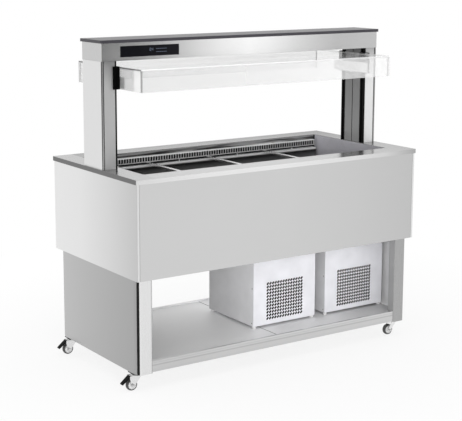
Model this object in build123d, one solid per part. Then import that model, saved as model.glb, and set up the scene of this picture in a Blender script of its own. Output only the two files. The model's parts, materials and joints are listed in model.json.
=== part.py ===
from build123d import *
import os

# A cold buffet counter on castors, in millimetres.
# X runs along the counter, Y towards its back and Z up from the floor.
# Everything is drawn about the middle of the worktop and moved to the middle of the whole when it is saved.

# Sheet metal and the gaps between pieces
SHEET = 2.0
JOINT = 0.8
RUN = 1.0
REST_GAP = 0.3
BORE_GAP = 0.05

# Heights from the floor up
CASTOR_HEIGHT = 75.0
LOWER_HEIGHT = 405.0
UPPER_HEIGHT = 400.0
EDGE_HEIGHT = 20.0
POST_HEIGHT = 452.0
CANOPY_HEIGHT = 75.0
SLAB_HEIGHT = 13.0

# Well for standard pans set side by side
BAYS = 4
BAY_PITCH = 327.5
WELL_WIDTH = 536.0
WELL_CORNER = 10.0
TANK_DEPTH = 210.0
JACKET = 30.0
END_GAP = 12.0

# Ledges, bars and the slotted air grille in the well
LEDGE_DROP = 60.0
FRONT_LEDGE = 14.0
BACK_LEDGE = 32.0
LEDGE_LIP = 14.0
DUCT_SLOTS = 12
DUCT_SLOT = 88.0
TAB_WIDTH = 4.0
TAB_HEIGHT = 9.0
BAR_WIDTH = 18.0
BAR_HEIGHT = 10.0
GRILLE_DROP = 22.0
GRILLE_DEPTH = 18.0
GRILLE_HEIGHT = 28.0
GRILLE_FRAME = 4.0
FIN_PITCH = 14.0
FIN_SLOT = 9.5

# Cooler under the air deck
DECK_HEIGHT = 75.0
DECK_RETURN = 45.0
COIL_LENGTH = 1080.0
COIL_DEPTH = 120.0
COIL_HEIGHT = 64.0
COIL_BEHIND = 60.0
COOLER_FAN_SPACING = 520.0
COOLER_FAN_RADIUS = 29.0
COOLER_SHAFT = 3.0
DRAIN_X = 480.0
DRAIN_Y = 110.0
DRAIN_RADIUS = 11.0

# Worktop and the panels under it
STRIP = 102.0
EDGE_CORNER = 4.0
PANEL_INSET = 4.0
PANEL_WRAP = 12.0
PANEL_CORNER = 4.0

# Posts with their tracks
POST_STAND = 17.0
POST_WIDTH = 72.0
POST_DEPTH = 164.0
POST_INSET = 6.0
POST_WALL = 4.0
POST_BOW = 2.0
GROOVE_WIDTH = 3.0
GROOVE_DEPTH = 4.0
GROOVE_EDGE = 9.0
SEAM_WIDTH = 4.0
SEAM_DEPTH = 5.0
TRACK_WIDTH = 8.0
TRACK_DEPTH = 28.0
TRACK_SLOT = 10.0
TRACK_SLOT_DEPTH = 6.0
TONGUE_GAP = 0.5

# Canopy
CANOPY_OVER = 3.0
CANOPY_INSET = 1.0
SLAB_OVER = 6.0
LAMP_LENGTH = 1180.0
LAMP_WIDTH = 40.0
LAMP_FLANGE = 3.0
CONTROL_LEFT = 89.0
CONTROL_WIDTH = 286.0
CONTROL_HEIGHT = 46.0
CONTROL_DEPTH = 3.0

# Clear hood and its carriages
HOOD_WIDTH = 540.0
HOOD_HEIGHT = 94.0
HOOD_GAP = 23.0
PANE = 5.0
END_STAND = 8.0
CARRIAGE_WALL = 11.0
CARRIAGE_WRAP = 20.0
CARRIAGE_GRIP = 32.0
CARRIAGE_RISE = 1.0
BRIDGE_HEIGHT = 48.0
BRIDGE_RISE = 3.0
BRIDGE_DEPTH = 3.0
BRIDGE_OVER = 26.0

# Lower carcass
LOWER_INSET_X = 16.0
LOWER_INSET_Y = 26.0
END_DEPTH = 12.0
END_CORNER = 10.0
LEG_WIDTH = 60.0
LEG_DEPTH = 42.0
LEG_CORNER = 8.0
STRIP_WIDTH = 20.0
STRIP_SET = 2.0
RAIL_SETBACK = 6.0
RAIL_DEPTH = 20.0
RAIL_RISE = 3.0
RAIL_LIP = 11.0
RAIL_CORNER = 5.0
SHELF_RISE = 45.0
SHELF_LIP = 8.0
SHELF_GAP = 0.5

# Condensing units on the shelf
UNIT_WIDTH = 350.0
UNIT_DEPTH = 360.0
UNIT_FRONT = 190.0
UNIT_CENTRES = (133.0, 543.0)
UNIT_FOOT = 10.0
UNIT_FOOT_RADIUS = 9.0
UNIT_TOP_GAP = 2.0
VENT_ROWS = 7
VENT_PITCH = 26.0
VENT_HEIGHT = 8.0
VENT_LENGTH = 220.0
FIELD_RISE = 20.0
SLOT_COLUMNS = 14
SLOT_ROWS = 12
SLOT_PITCH = 14.8
SLOT_LENGTH = 15.0
SLOT_WIDTH = 7.0
CONDENSER_LENGTH = 230.0
CONDENSER_DEPTH = 44.0
CONDENSER_HEIGHT = 200.0
CONDENSER_BEHIND = 14.0
FAN_BEHIND = 12.0
FAN_RADIUS = 78.0
FAN_HUB = 20.0
FAN_DEPTH = 20.0
FAN_SHAFT = 4.0
MOTOR_RADIUS = 28.0
MOTOR_LENGTH = 40.0
COMPRESSOR_RADIUS = 60.0
COMPRESSOR_HEIGHT = 176.0
COMPRESSOR_BASE = 6.0
COMPRESSOR_BACK = 90.0

# Castors, trailing towards the left end
WHEEL_RADIUS = 25.0
WHEEL_WIDTH = 20.0
HUB_RADIUS = 9.0
HUB_OVER = 2.0
WHEEL_RECESS = 3.0
RECESS_RADIUS = 17.0
AXLE_RADIUS = 4.0
TRAIL = 30.0
PLATE_SIZE = 58.0
PLATE_THICK = 4.0
CASTOR_BACK = 56.0
KINGPIN_RADIUS = 5.0
SWIVEL_RADIUS = 24.0
SWIVEL_THICK = 5.0
ARM_THICK = 2.5
ARM_GAP = 0.5
PIVOT_X = 38.0
PIVOT_DROP = 15.0
PIN_RADIUS = 2.0
PEDAL_REACH = 77.0
PEDAL_FALL = 26.0

# Levels and half sizes that follow
WELL_X = BAYS * BAY_PITCH / 2
WELL_Y = WELL_WIDTH / 2
POST_IN = WELL_X + POST_STAND
POST_OUT = POST_IN + POST_WIDTH
POST_Y = POST_DEPTH / 2
HALF_X = POST_OUT + POST_INSET
HALF_Y = WELL_Y + STRIP
LOWER_TOP = CASTOR_HEIGHT + LOWER_HEIGHT
WORKTOP_Z = LOWER_TOP + UPPER_HEIGHT + EDGE_HEIGHT
UNDER_Z = WORKTOP_Z - SHEET
CANOPY_Z = WORKTOP_Z + POST_HEIGHT
SLAB_Z = CANOPY_Z + CANOPY_HEIGHT
PANEL_X = HALF_X - PANEL_INSET
PANEL_Y = HALF_Y - PANEL_INSET
FLOOR_Z = WORKTOP_Z - TANK_DEPTH
LEDGE_Z = WORKTOP_Z - LEDGE_DROP
LIP_Z = LEDGE_Z - LEDGE_LIP
DECK_Z = FLOOR_Z + DECK_HEIGHT
RAIL_X = WELL_X - END_GAP
HOOD_X = POST_IN - END_STAND
HOOD_Y = HOOD_WIDTH / 2
HOOD_TOP = CANOPY_Z - HOOD_GAP
HOOD_Z = HOOD_TOP - HOOD_HEIGHT
CANOPY_X = POST_OUT - CANOPY_INSET
CANOPY_Y = POST_Y + CANOPY_OVER
LOWER_X = HALF_X - LOWER_INSET_X
LOWER_Y = HALF_Y - LOWER_INSET_Y
LEG_OUT = LOWER_X - END_DEPTH
LEG_IN = LEG_OUT - LEG_WIDTH
LEG_Y = LOWER_Y - LEG_DEPTH
END_Y = LOWER_Y - STRIP_WIDTH - STRIP_SET
SHELF_Z = CASTOR_HEIGHT + SHELF_RISE
UNIT_Z = SHELF_Z + UNIT_FOOT
UNIT_TOP = LOWER_TOP - UNIT_TOP_GAP
FAN_Z = UNIT_Z + CONDENSER_HEIGHT / 2
FAN_Y = -UNIT_FRONT + CONDENSER_BEHIND + CONDENSER_DEPTH + FAN_BEHIND
CASTOR_X = LOWER_X - PLATE_SIZE / 2
CASTOR_Y = LOWER_Y - CASTOR_BACK
PLATE_Z = CASTOR_HEIGHT - PLATE_THICK
FORK_TOP = PLATE_Z - REST_GAP
ARM_Y = WHEEL_WIDTH / 2 + HUB_OVER + ARM_GAP
PIVOT_Z = CASTOR_HEIGHT - PIVOT_DROP
ORIGIN_X = (CASTOR_X + PEDAL_REACH - HALF_X) / 2


def block(x0, x1, y0, y1, z0, z1):
    return Pos((x0 + x1) / 2, (y0 + y1) / 2, (z0 + z1) / 2) * Box(x1 - x0, y1 - y0, z1 - z0)


def rounded(x0, x1, y0, y1, z0, z1, radius):
    body = block(x0, x1, y0, y1, z0, z1)
    return fillet(body.edges().filter_by(Axis.Z), radius)


def rod(x, y0, y1, z, radius):
    return Pos(x, (y0 + y1) / 2, z) * Rot(90, 0, 0) * Cylinder(radius, y1 - y0)


def left_of(shape):
    return mirror(shape, about=Plane.YZ)


def back_of(shape):
    return mirror(shape, about=Plane.XZ)


def corners_of(shape):
    pair = [shape, back_of(shape)]
    return pair + [left_of(piece) for piece in pair]


def save(node, *pieces):
    solids = [solid for piece in pieces for solid in piece.solids()]
    moved = [Pos(ORIGIN_X, 0, 0) * solid for solid in solids]
    shape = moved[0] if len(moved) == 1 else Compound(moved)
    export_step(shape, f"parts/{node}.step")


# Upper body

def worktop():
    edge_z = WORKTOP_Z - EDGE_HEIGHT
    top = rounded(-HALF_X, HALF_X, -HALF_Y, HALF_Y, edge_z, WORKTOP_Z, EDGE_CORNER)
    in_x = HALF_X - SHEET
    in_y = HALF_Y - SHEET
    hollow = rounded(-in_x, in_x, -in_y, in_y, edge_z, UNDER_Z, EDGE_CORNER - SHEET)
    opening = rounded(-WELL_X, WELL_X, -WELL_Y, WELL_Y, edge_z, WORKTOP_Z, WELL_CORNER)
    return top - hollow - opening


def right_end_panel():
    skin = block(PANEL_X - PANEL_WRAP, PANEL_X, -PANEL_Y, PANEL_Y, LOWER_TOP, UNDER_Z)
    outer = skin.edges().filter_by(Axis.Z).group_by(Axis.X)[-1]
    skin = fillet(outer, PANEL_CORNER)
    in_y = PANEL_Y - SHEET
    hollow = block(PANEL_X - PANEL_WRAP, PANEL_X - SHEET, -in_y, in_y, LOWER_TOP, UNDER_Z)
    inner = hollow.edges().filter_by(Axis.Z).group_by(Axis.X)[-1]
    return skin - fillet(inner, PANEL_CORNER - SHEET)


def front_panel():
    reach = PANEL_X - PANEL_WRAP - JOINT
    return block(-reach, reach, -PANEL_Y, SHEET - PANEL_Y, LOWER_TOP, UNDER_Z)


def base_pan():
    in_x = PANEL_X - SHEET
    in_y = PANEL_Y - SHEET
    return rounded(-in_x, in_x, -in_y, in_y, LOWER_TOP, LOWER_TOP + SHEET, PANEL_CORNER - SHEET)


def tank_outside(grow, drop):
    x = WELL_X + SHEET + grow
    y = WELL_Y + SHEET + grow
    return rounded(-x, x, -y, y, FLOOR_Z - SHEET - drop, UNDER_Z, WELL_CORNER + SHEET + grow)


def drain_hole():
    low = FLOOR_Z - SHEET - JACKET
    return Pos(-DRAIN_X, -DRAIN_Y, (low + FLOOR_Z) / 2) * Cylinder(DRAIN_RADIUS + REST_GAP, FLOOR_Z - low)


def well_tank():
    inside = rounded(-WELL_X, WELL_X, -WELL_Y, WELL_Y, FLOOR_Z, UNDER_Z, WELL_CORNER)
    return tank_outside(0, 0) - inside - drain_hole()


def insulation():
    return tank_outside(JACKET, JACKET) - tank_outside(0, 0) - drain_hole()


def drain_fitting():
    low = FLOOR_Z - SHEET - 2 * JACKET
    tube = Pos(-DRAIN_X, -DRAIN_Y, (low + FLOOR_Z) / 2) * Cylinder(DRAIN_RADIUS, FLOOR_Z - low)
    flange = Pos(-DRAIN_X, -DRAIN_Y, FLOOR_Z + SHEET / 2) * Cylinder(2 * DRAIN_RADIUS, SHEET)
    bore = Pos(-DRAIN_X, -DRAIN_Y, (low + FLOOR_Z) / 2) * Cylinder(DRAIN_RADIUS - SHEET, 2 * TANK_DEPTH)
    return tube + flange - bore


# Air grille with upright slots along the back wall
def air_grille():
    top_z = WORKTOP_Z - GRILLE_DROP
    low_z = top_z - GRILLE_HEIGHT
    face_y = WELL_Y - GRILLE_DEPTH
    slots = int((2 * RAIL_X - 2 * GRILLE_FRAME) // FIN_PITCH)
    slot_height = GRILLE_HEIGHT - 2 * GRILLE_FRAME
    sheet = Rectangle(2 * RAIL_X, GRILLE_HEIGHT)
    sheet -= GridLocations(FIN_PITCH, 0, slots, 1) * Rectangle(FIN_SLOT, slot_height)
    face = extrude(Plane.XZ * sheet, SHEET)
    face = Pos(0, face_y + SHEET, (top_z + low_z) / 2) * face
    return face + block(-RAIL_X, RAIL_X, face_y, WELL_Y, top_z - SHEET, top_z)


def ledge(y_wall, y_lip):
    low_y = min(y_wall, y_lip)
    high_y = max(y_wall, y_lip)
    inner = y_lip + SHEET if y_lip < y_wall else y_lip - SHEET
    shelf = block(-RAIL_X, RAIL_X, low_y, high_y, LEDGE_Z - SHEET, LEDGE_Z)
    return shelf + block(-RAIL_X, RAIL_X, min(y_lip, inner), max(y_lip, inner), LIP_Z, LEDGE_Z)


def pan_rails():
    back_lip = WELL_Y - BACK_LEDGE
    back = ledge(WELL_Y, back_lip)
    slot_y = WELL_Y - GRILLE_DEPTH / 2
    slot = Box(DUCT_SLOT, GRILLE_DEPTH - 2 * SHEET, 2 * SHEET)
    pitch = 2 * RAIL_X / DUCT_SLOTS
    back -= [Pos(0, slot_y, LEDGE_Z) * at * slot for at in GridLocations(pitch, 0, DUCT_SLOTS, 1)]
    tab = block(-TAB_WIDTH / 2, TAB_WIDTH / 2, back_lip, back_lip + TAB_WIDTH, LEDGE_Z, LEDGE_Z + TAB_HEIGHT)
    back += [at * tab for at in GridLocations(BAY_PITCH, 0, BAYS, 1)]
    return ledge(-WELL_Y, FRONT_LEDGE - WELL_Y), back


# Loose bar, short enough to lift inside the lowered hood
def cross_bar(x):
    front_y = PANE - HOOD_Y + RUN
    back_y = WELL_Y - GRILLE_DEPTH - SHEET
    z0 = LEDGE_Z + REST_GAP
    half = BAR_WIDTH / 2
    bar = block(x - half, x + half, front_y, back_y, z0, z0 + BAR_HEIGHT)
    return bar - block(x - half + SHEET, x + half - SHEET, front_y, back_y, z0, z0 + BAR_HEIGHT - SHEET)


def air_deck():
    back_y = WELL_Y - BACK_LEDGE + SHEET
    plate = block(-RAIL_X, RAIL_X, DECK_RETURN - WELL_Y, back_y, DECK_Z - SHEET, DECK_Z)
    plate += block(-RAIL_X, RAIL_X, back_y - SHEET, back_y, DECK_Z, LIP_Z)
    end = block(RAIL_X - SHEET, RAIL_X, DECK_RETURN - WELL_Y, back_y, FLOOR_Z, DECK_Z)
    return plate + end + left_of(end)


def evaporator():
    half = COIL_LENGTH / 2
    y0 = COIL_BEHIND
    y1 = COIL_BEHIND + COIL_DEPTH
    core = block(-half, half, y0 + SHEET, y1 - SHEET, FLOOR_Z, FLOOR_Z + COIL_HEIGHT - SHEET)
    end = block(half - SHEET, half, y0, y1, FLOOR_Z, FLOOR_Z + COIL_HEIGHT)
    return core + end + left_of(end)


def cooler_fan_height():
    return FLOOR_Z + (DECK_HEIGHT - SHEET) / 2


def evaporator_fan_plate():
    half = COIL_LENGTH / 2
    z = cooler_fan_height()
    plate = block(-half, half, 0, SHEET, FLOOR_Z, DECK_Z - SHEET)
    for x in (-COOLER_FAN_SPACING / 2, COOLER_FAN_SPACING / 2):
        plate -= rod(x, 0, SHEET, z, COOLER_FAN_RADIUS + 2 * RUN)
        reach = COOLER_FAN_RADIUS + 4 * RUN
        plate += block(x - reach, x + reach, 0, SHEET, z - 2 * SHEET, z + 2 * SHEET)
        plate += rod(x, 0, COIL_BEHIND / 2, z, COOLER_FAN_RADIUS / 2)
        plate += rod(x, -COIL_BEHIND / 3, 0, z, COOLER_SHAFT)
    return plate


# Fan rotor about an axis along Y, its middle at the origin
def rotor(radius, hub, depth, bore, blades):
    length = radius - hub + SHEET
    blade = Pos(hub - SHEET + length / 2, 0, 0) * Rot(38, 0, 0) * Box(length, 1.5 * depth, SHEET)
    body = Cylinder(hub, depth)
    for turn in range(blades):
        body += Rot(0, 0, turn * 360 / blades) * blade
    body -= Cylinder(bore, 2 * depth)
    return Rot(90, 0, 0) * body


def cooler_fan(x):
    depth = COIL_BEHIND / 5
    bore = COOLER_SHAFT + BORE_GAP
    body = rotor(COOLER_FAN_RADIUS, COOLER_FAN_RADIUS / 3, depth, bore, 5)
    return Pos(x, -depth / 2 - 2 * RUN, cooler_fan_height()) * body


# Posts, tracks and canopy

def post_outline():
    c = POST_Y - TRACK_DEPTH
    s = SEAM_WIDTH / 2
    g0 = POST_WIDTH - GROOVE_EDGE - GROOVE_WIDTH
    g1 = POST_WIDTH - GROOVE_EDGE
    deep = POST_Y - GROOVE_DEPTH
    cut = SHEET
    half = [
        (g0, -POST_Y), (g0, -deep), (g1, -deep), (g1, -POST_Y),
        (POST_WIDTH - cut, -POST_Y), (POST_WIDTH, cut - POST_Y),
    ]
    other = [(x, -y) for x, y in reversed(half)]
    inner = [
        (TRACK_WIDTH, POST_Y), (TRACK_WIDTH, c), (0, c), (0, s), (SEAM_DEPTH, s),
        (SEAM_DEPTH, -s), (0, -s), (0, -c), (TRACK_WIDTH, -c), (TRACK_WIDTH, -POST_Y),
    ]
    middle = (TRACK_WIDTH + g0) / 2
    bow = POST_Y + POST_BOW
    curves = [
        ThreePointArc(inner[-1], (middle, -bow), half[0]),
        Polyline(*half, *other),
        ThreePointArc(other[-1], (middle, bow), inner[0]),
        Polyline(*inner),
    ]
    return make_face([edge for curve in curves for edge in curve.edges()])


def right_post():
    in_x = TRACK_WIDTH + POST_WALL
    out_x = POST_WIDTH - POST_WALL
    hollow_y = POST_Y - GROOVE_DEPTH - POST_WALL
    hollow = Pos((in_x + out_x) / 2, 0) * Rectangle(out_x - in_x, 2 * hollow_y)
    return Pos(POST_IN, 0, WORKTOP_Z) * extrude(post_outline() - hollow, POST_HEIGHT)


def track():
    y0 = -POST_Y
    y1 = TRACK_DEPTH - POST_Y
    middle = (y0 + y1) / 2
    body = block(POST_IN, POST_IN + TRACK_WIDTH, y0, y1, WORKTOP_Z, CANOPY_Z)
    half = TRACK_SLOT / 2
    return body - block(POST_IN, POST_IN + TRACK_SLOT_DEPTH, middle - half, middle + half, WORKTOP_Z, CANOPY_Z)


def canopy_shell():
    outside = block(-CANOPY_X, CANOPY_X, -CANOPY_Y, CANOPY_Y, CANOPY_Z, SLAB_Z)
    x = CANOPY_X - SHEET
    y = CANOPY_Y - SHEET
    return outside - block(-x, x, -y, y, CANOPY_Z, SLAB_Z)


def canopy_top():
    x = CANOPY_X + SLAB_OVER + CANOPY_INSET
    y = CANOPY_Y + SLAB_OVER
    slab = rounded(-x, x, -y, y, SLAB_Z, SLAB_Z + SLAB_HEIGHT, PANEL_CORNER)
    return chamfer(slab.faces().sort_by(Axis.Z)[-1].edges(), SHEET / 2)


def canopy_underside():
    x = CANOPY_X - SHEET
    y = CANOPY_Y - SHEET
    plate = block(-x, x, -y, y, CANOPY_Z, CANOPY_Z + SHEET)
    return plate - Pos(0, 0, CANOPY_Z) * Box(LAMP_LENGTH, LAMP_WIDTH, 4 * SHEET)


def lamp_diffuser():
    x = LAMP_LENGTH / 2
    y = LAMP_WIDTH / 2
    lens = block(-x + REST_GAP, x - REST_GAP, -y + REST_GAP, y - REST_GAP, CANOPY_Z, CANOPY_Z + SHEET)
    x += LAMP_FLANGE
    y += LAMP_FLANGE
    return lens + block(-x, x, -y, y, CANOPY_Z + SHEET, CANOPY_Z + 2 * SHEET)


def control_panel():
    x0 = CONTROL_LEFT - CANOPY_X
    middle = (CANOPY_Z + SLAB_Z) / 2
    half = CONTROL_HEIGHT / 2
    glass = block(x0, x0 + CONTROL_WIDTH, -CANOPY_Y - CONTROL_DEPTH, -CANOPY_Y, middle - half, middle + half)
    return chamfer(glass.faces().sort_by(Axis.Y)[0].edges(), CONTROL_DEPTH / 3)


# Hood that slides on the posts

def hood_top_pane():
    return block(-HOOD_X, HOOD_X, -HOOD_Y, HOOD_Y, HOOD_TOP - PANE, HOOD_TOP)


def hood_front_pane():
    return block(-HOOD_X, HOOD_X, -HOOD_Y, PANE - HOOD_Y, HOOD_Z, HOOD_TOP - PANE)


def hood_end_pane():
    return block(HOOD_X - PANE, HOOD_X, PANE - HOOD_Y, HOOD_Y - PANE, HOOD_Z, HOOD_TOP - PANE)


def carriage():
    top = HOOD_TOP + CARRIAGE_RISE
    near_y = -POST_Y - POST_BOW - RUN
    front_y = near_y - CARRIAGE_WALL
    back_y = CARRIAGE_GRIP - POST_Y
    face_x = POST_IN - RUN
    body = block(HOOD_X, face_x, front_y, back_y, HOOD_Z, top)
    body += block(HOOD_X, POST_IN + CARRIAGE_WRAP, front_y, near_y, HOOD_Z, top)
    slot_y = TRACK_DEPTH / 2 - POST_Y
    half = TRACK_SLOT / 2 - TONGUE_GAP
    tip_x = POST_IN + TRACK_SLOT_DEPTH - TONGUE_GAP
    return body + block(face_x, tip_x, slot_y - half, slot_y + half, HOOD_Z, top)


def bridge():
    y = POST_Y + POST_BOW + RUN + CARRIAGE_WALL + BRIDGE_OVER
    z0 = HOOD_Z + BRIDGE_RISE
    x1 = HOOD_X - PANE
    return block(x1 - BRIDGE_DEPTH, x1, -y, y, z0, z0 + BRIDGE_HEIGHT)


# Lower carcass

def right_lower_panel():
    skin = block(LEG_OUT, LOWER_X, -END_Y, END_Y, CASTOR_HEIGHT, LOWER_TOP)
    outer = skin.edges().filter_by(Axis.Z).group_by(Axis.X)[-1]
    skin = fillet(outer, END_CORNER)
    y = END_Y - SHEET
    hollow = block(LEG_OUT, LOWER_X - SHEET, -y, y, CASTOR_HEIGHT, LOWER_TOP)
    inner = hollow.edges().filter_by(Axis.Z).group_by(Axis.X)[-1]
    return skin - fillet(inner, END_CORNER - SHEET)


def leg():
    skin = block(LEG_IN, LEG_OUT, -LOWER_Y, -LEG_Y, CASTOR_HEIGHT, LOWER_TOP)
    outer = skin.edges().filter_by(Axis.Z).group_by(Axis.Y)[0]
    skin = fillet(outer, LEG_CORNER)
    hollow = block(LEG_IN + SHEET, LEG_OUT - SHEET, SHEET - LOWER_Y, -LEG_Y, CASTOR_HEIGHT, LOWER_TOP)
    inner = hollow.edges().filter_by(Axis.Z).group_by(Axis.Y)[0]
    return skin - fillet(inner, LEG_CORNER - SHEET)


def leg_strip():
    y1 = STRIP_WIDTH - LOWER_Y + STRIP_SET
    y0 = LEG_CORNER - LOWER_Y
    return block(LEG_OUT, LEG_OUT + SHEET, y0, y1, CASTOR_HEIGHT, LOWER_TOP)


def shelf_rail():
    y0 = RAIL_SETBACK - LOWER_Y
    lip = y0 + RAIL_LIP
    y1 = y0 + RAIL_DEPTH
    z0 = CASTOR_HEIGHT + RAIL_RISE
    step = SHELF_Z - SHEET
    top = SHELF_Z + SHELF_LIP
    bar = block(-LEG_IN, LEG_IN, y0, lip, z0, top)
    nose = bar.edges().filter_by(Axis.X).group_by(Axis.Y)[0].sort_by(Axis.Z)[-1]
    bar = fillet(nose, RAIL_CORNER)
    bar += block(-LEG_IN, LEG_IN, lip, y1, z0, step)
    hollow = block(-LEG_IN, LEG_IN, y0 + SHEET, lip - SHEET, z0, top - SHEET)
    bend = hollow.edges().filter_by(Axis.X).group_by(Axis.Y)[0].sort_by(Axis.Z)[-1]
    hollow = fillet(bend, RAIL_CORNER - SHEET)
    return bar - hollow - block(-LEG_IN, LEG_IN, y0 + SHEET, y1 - SHEET, z0, step - SHEET)


def right_shelf_plate():
    y = LOWER_Y - RAIL_SETBACK - RAIL_LIP - SHELF_GAP
    z = SHELF_Z - SHEET
    wide = block(SHELF_GAP, LEG_IN - SHELF_GAP, -y, y, z, SHELF_Z)
    inner_y = LEG_Y - SHELF_GAP
    return wide + block(LEG_IN - SHELF_GAP, LEG_OUT, -inner_y, inner_y, z, SHELF_Z)


# Condensing units

def unit_housing(x):
    half = UNIT_WIDTH / 2
    y0 = SHEET - UNIT_FRONT
    y1 = UNIT_DEPTH - UNIT_FRONT
    shell = block(x - half, x + half, y0, y1, UNIT_Z, UNIT_TOP)
    in_x = half - SHEET
    shell -= block(x - in_x, x + in_x, y0, y1 - SHEET, UNIT_Z + SHEET, UNIT_TOP - SHEET)
    middle = (UNIT_Z + UNIT_TOP) / 2
    vents = GridLocations(0, VENT_PITCH, 1, VENT_ROWS)
    vent = Pos(x, y1, middle) * Rot(90, 0, 0)
    shell -= [vent * at * Box(VENT_LENGTH, VENT_HEIGHT, 4 * SHEET) for at in vents]
    foot = Pos(0, 0, (SHELF_Z + UNIT_Z) / 2) * Cylinder(UNIT_FOOT_RADIUS, UNIT_FOOT)
    inset = UNIT_FOOT_RADIUS + SHEET
    spots = GridLocations(UNIT_WIDTH - 2 * inset, UNIT_DEPTH - 2 * inset, 2, 2)
    feet = [Pos(x, UNIT_DEPTH / 2 - UNIT_FRONT, 0) * at * foot for at in spots]
    return [shell] + feet


# Perforated front with slots leaning at 45 degrees
def unit_grille(x):
    height = UNIT_TOP - UNIT_Z
    half = SLOT_WIDTH / 2
    flat = SLOT_LENGTH / 2 - half
    tip = SLOT_LENGTH / 2
    slot = Polygon((-tip, 0), (-flat, -half), (flat, -half), (tip, 0), (flat, half), (-flat, half))
    field_height = (SLOT_ROWS - 1) * SLOT_PITCH + SLOT_LENGTH
    field_middle = FIELD_RISE + (field_height - height) / 2
    spots = GridLocations(SLOT_PITCH, SLOT_PITCH, SLOT_COLUMNS, SLOT_ROWS)
    sheet = Rectangle(UNIT_WIDTH, height)
    sheet -= [Pos(0, field_middle) * spot * Rot(0, 0, 45) * slot for spot in spots]
    panel = extrude(Plane.XZ * sheet, SHEET)
    return Pos(x, SHEET - UNIT_FRONT, UNIT_Z + height / 2) * panel


def condenser(x):
    half = CONDENSER_LENGTH / 2
    y0 = CONDENSER_BEHIND - UNIT_FRONT
    y1 = y0 + CONDENSER_DEPTH
    z0 = UNIT_Z + SHEET
    z1 = z0 + CONDENSER_HEIGHT - SHEET
    core = block(x - half, x + half, y0 + SHEET, y1 - SHEET, z0, z1 - SHEET)
    end = block(half - SHEET, half, y0, y1, z0, z1)
    return core + Pos(x, 0, 0) * end + Pos(x, 0, 0) * left_of(end)


def condenser_fan_motor(x):
    front_y = FAN_Y + FAN_DEPTH + FAN_BEHIND
    back_y = front_y + MOTOR_LENGTH
    body = rod(x, front_y, back_y, FAN_Z, MOTOR_RADIUS)
    body += rod(x, FAN_Y - FAN_BEHIND / 2, front_y, FAN_Z, FAN_SHAFT)
    reach = UNIT_WIDTH / 2 - SHEET
    return body + block(x - reach, x + reach, back_y, back_y + SHEET, FAN_Z - 4 * SHEET, FAN_Z + 4 * SHEET)


def condenser_fan(x):
    body = rotor(FAN_RADIUS, FAN_HUB, FAN_DEPTH, FAN_SHAFT + BORE_GAP, 5)
    return Pos(x, FAN_Y + FAN_DEPTH / 2, FAN_Z) * body


def compressor(x):
    y = UNIT_DEPTH - UNIT_FRONT - COMPRESSOR_BACK
    z0 = UNIT_Z + SHEET
    can = Pos(x, y, z0 + COMPRESSOR_BASE + COMPRESSOR_HEIGHT / 2) * Cylinder(COMPRESSOR_RADIUS, COMPRESSOR_HEIGHT)
    can = chamfer(can.edges().group_by(Axis.Z)[-1], COMPRESSOR_RADIUS / 4)
    half = COMPRESSOR_RADIUS + 3 * SHEET
    return can + block(x - half, x + half, y - half, y + half, z0, z0 + COMPRESSOR_BASE)


# Castors drawn about their own swivel axis, trailing towards the left

def castor_plate():
    plate = Pos(0, 0, PLATE_Z + PLATE_THICK / 2) * Box(PLATE_SIZE, PLATE_SIZE, PLATE_THICK)
    return plate - Pos(0, 0, PLATE_Z) * Cylinder(KINGPIN_RADIUS + BORE_GAP, 4 * PLATE_THICK)


def castor_fork(braked):
    low = FORK_TOP - SWIVEL_THICK
    head = Pos(0, 0, (low + FORK_TOP) / 2) * Cylinder(SWIVEL_RADIUS, SWIVEL_THICK)
    pin_top = CASTOR_HEIGHT - REST_GAP
    head += Pos(0, 0, (low + pin_top) / 2) * Cylinder(KINGPIN_RADIUS, pin_top - low)
    rounds = [
        Pos(-TRAIL, WHEEL_RADIUS) * Circle(2 * AXLE_RADIUS),
        Pos(SWIVEL_RADIUS / 2, low) * Circle(SHEET),
    ]
    if braked:
        rounds.append(Pos(-PIVOT_X, PIVOT_Z) * Circle(2 * PIN_RADIUS + SHEET))
    else:
        rounds.append(Pos(-SWIVEL_RADIUS / 2, low) * Circle(SHEET))
    outline = make_hull([edge for circle in rounds for edge in circle.edges()])
    arm = Pos(0, -ARM_Y, 0) * extrude(Plane.XZ * outline, ARM_THICK)
    out_y = ARM_Y + ARM_THICK
    fork = head + arm + back_of(arm) + rod(-TRAIL, -out_y - SHEET, out_y + SHEET, WHEEL_RADIUS, AXLE_RADIUS)
    if braked:
        fork += rod(-PIVOT_X, -out_y, out_y, PIVOT_Z, PIN_RADIUS)
    return fork


def castor_wheel():
    tyre = Rot(90, 0, 0) * Cylinder(WHEEL_RADIUS, WHEEL_WIDTH)
    tyre = chamfer(tyre.edges().group_by(Axis.Y)[0] + tyre.edges().group_by(Axis.Y)[-1], WHEEL_WIDTH / 6)
    half = WHEEL_WIDTH / 2
    recess = rod(0, WHEEL_RECESS - half - WHEEL_WIDTH, WHEEL_RECESS - half, 0, RECESS_RADIUS)
    hub = rod(0, -half - HUB_OVER, half + HUB_OVER, 0, HUB_RADIUS)
    bore = rod(0, -WHEEL_WIDTH, WHEEL_WIDTH, 0, AXLE_RADIUS + BORE_GAP)
    return Pos(-TRAIL, 0, WHEEL_RADIUS) * (tyre - recess - back_of(recess) + hub - bore)


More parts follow.
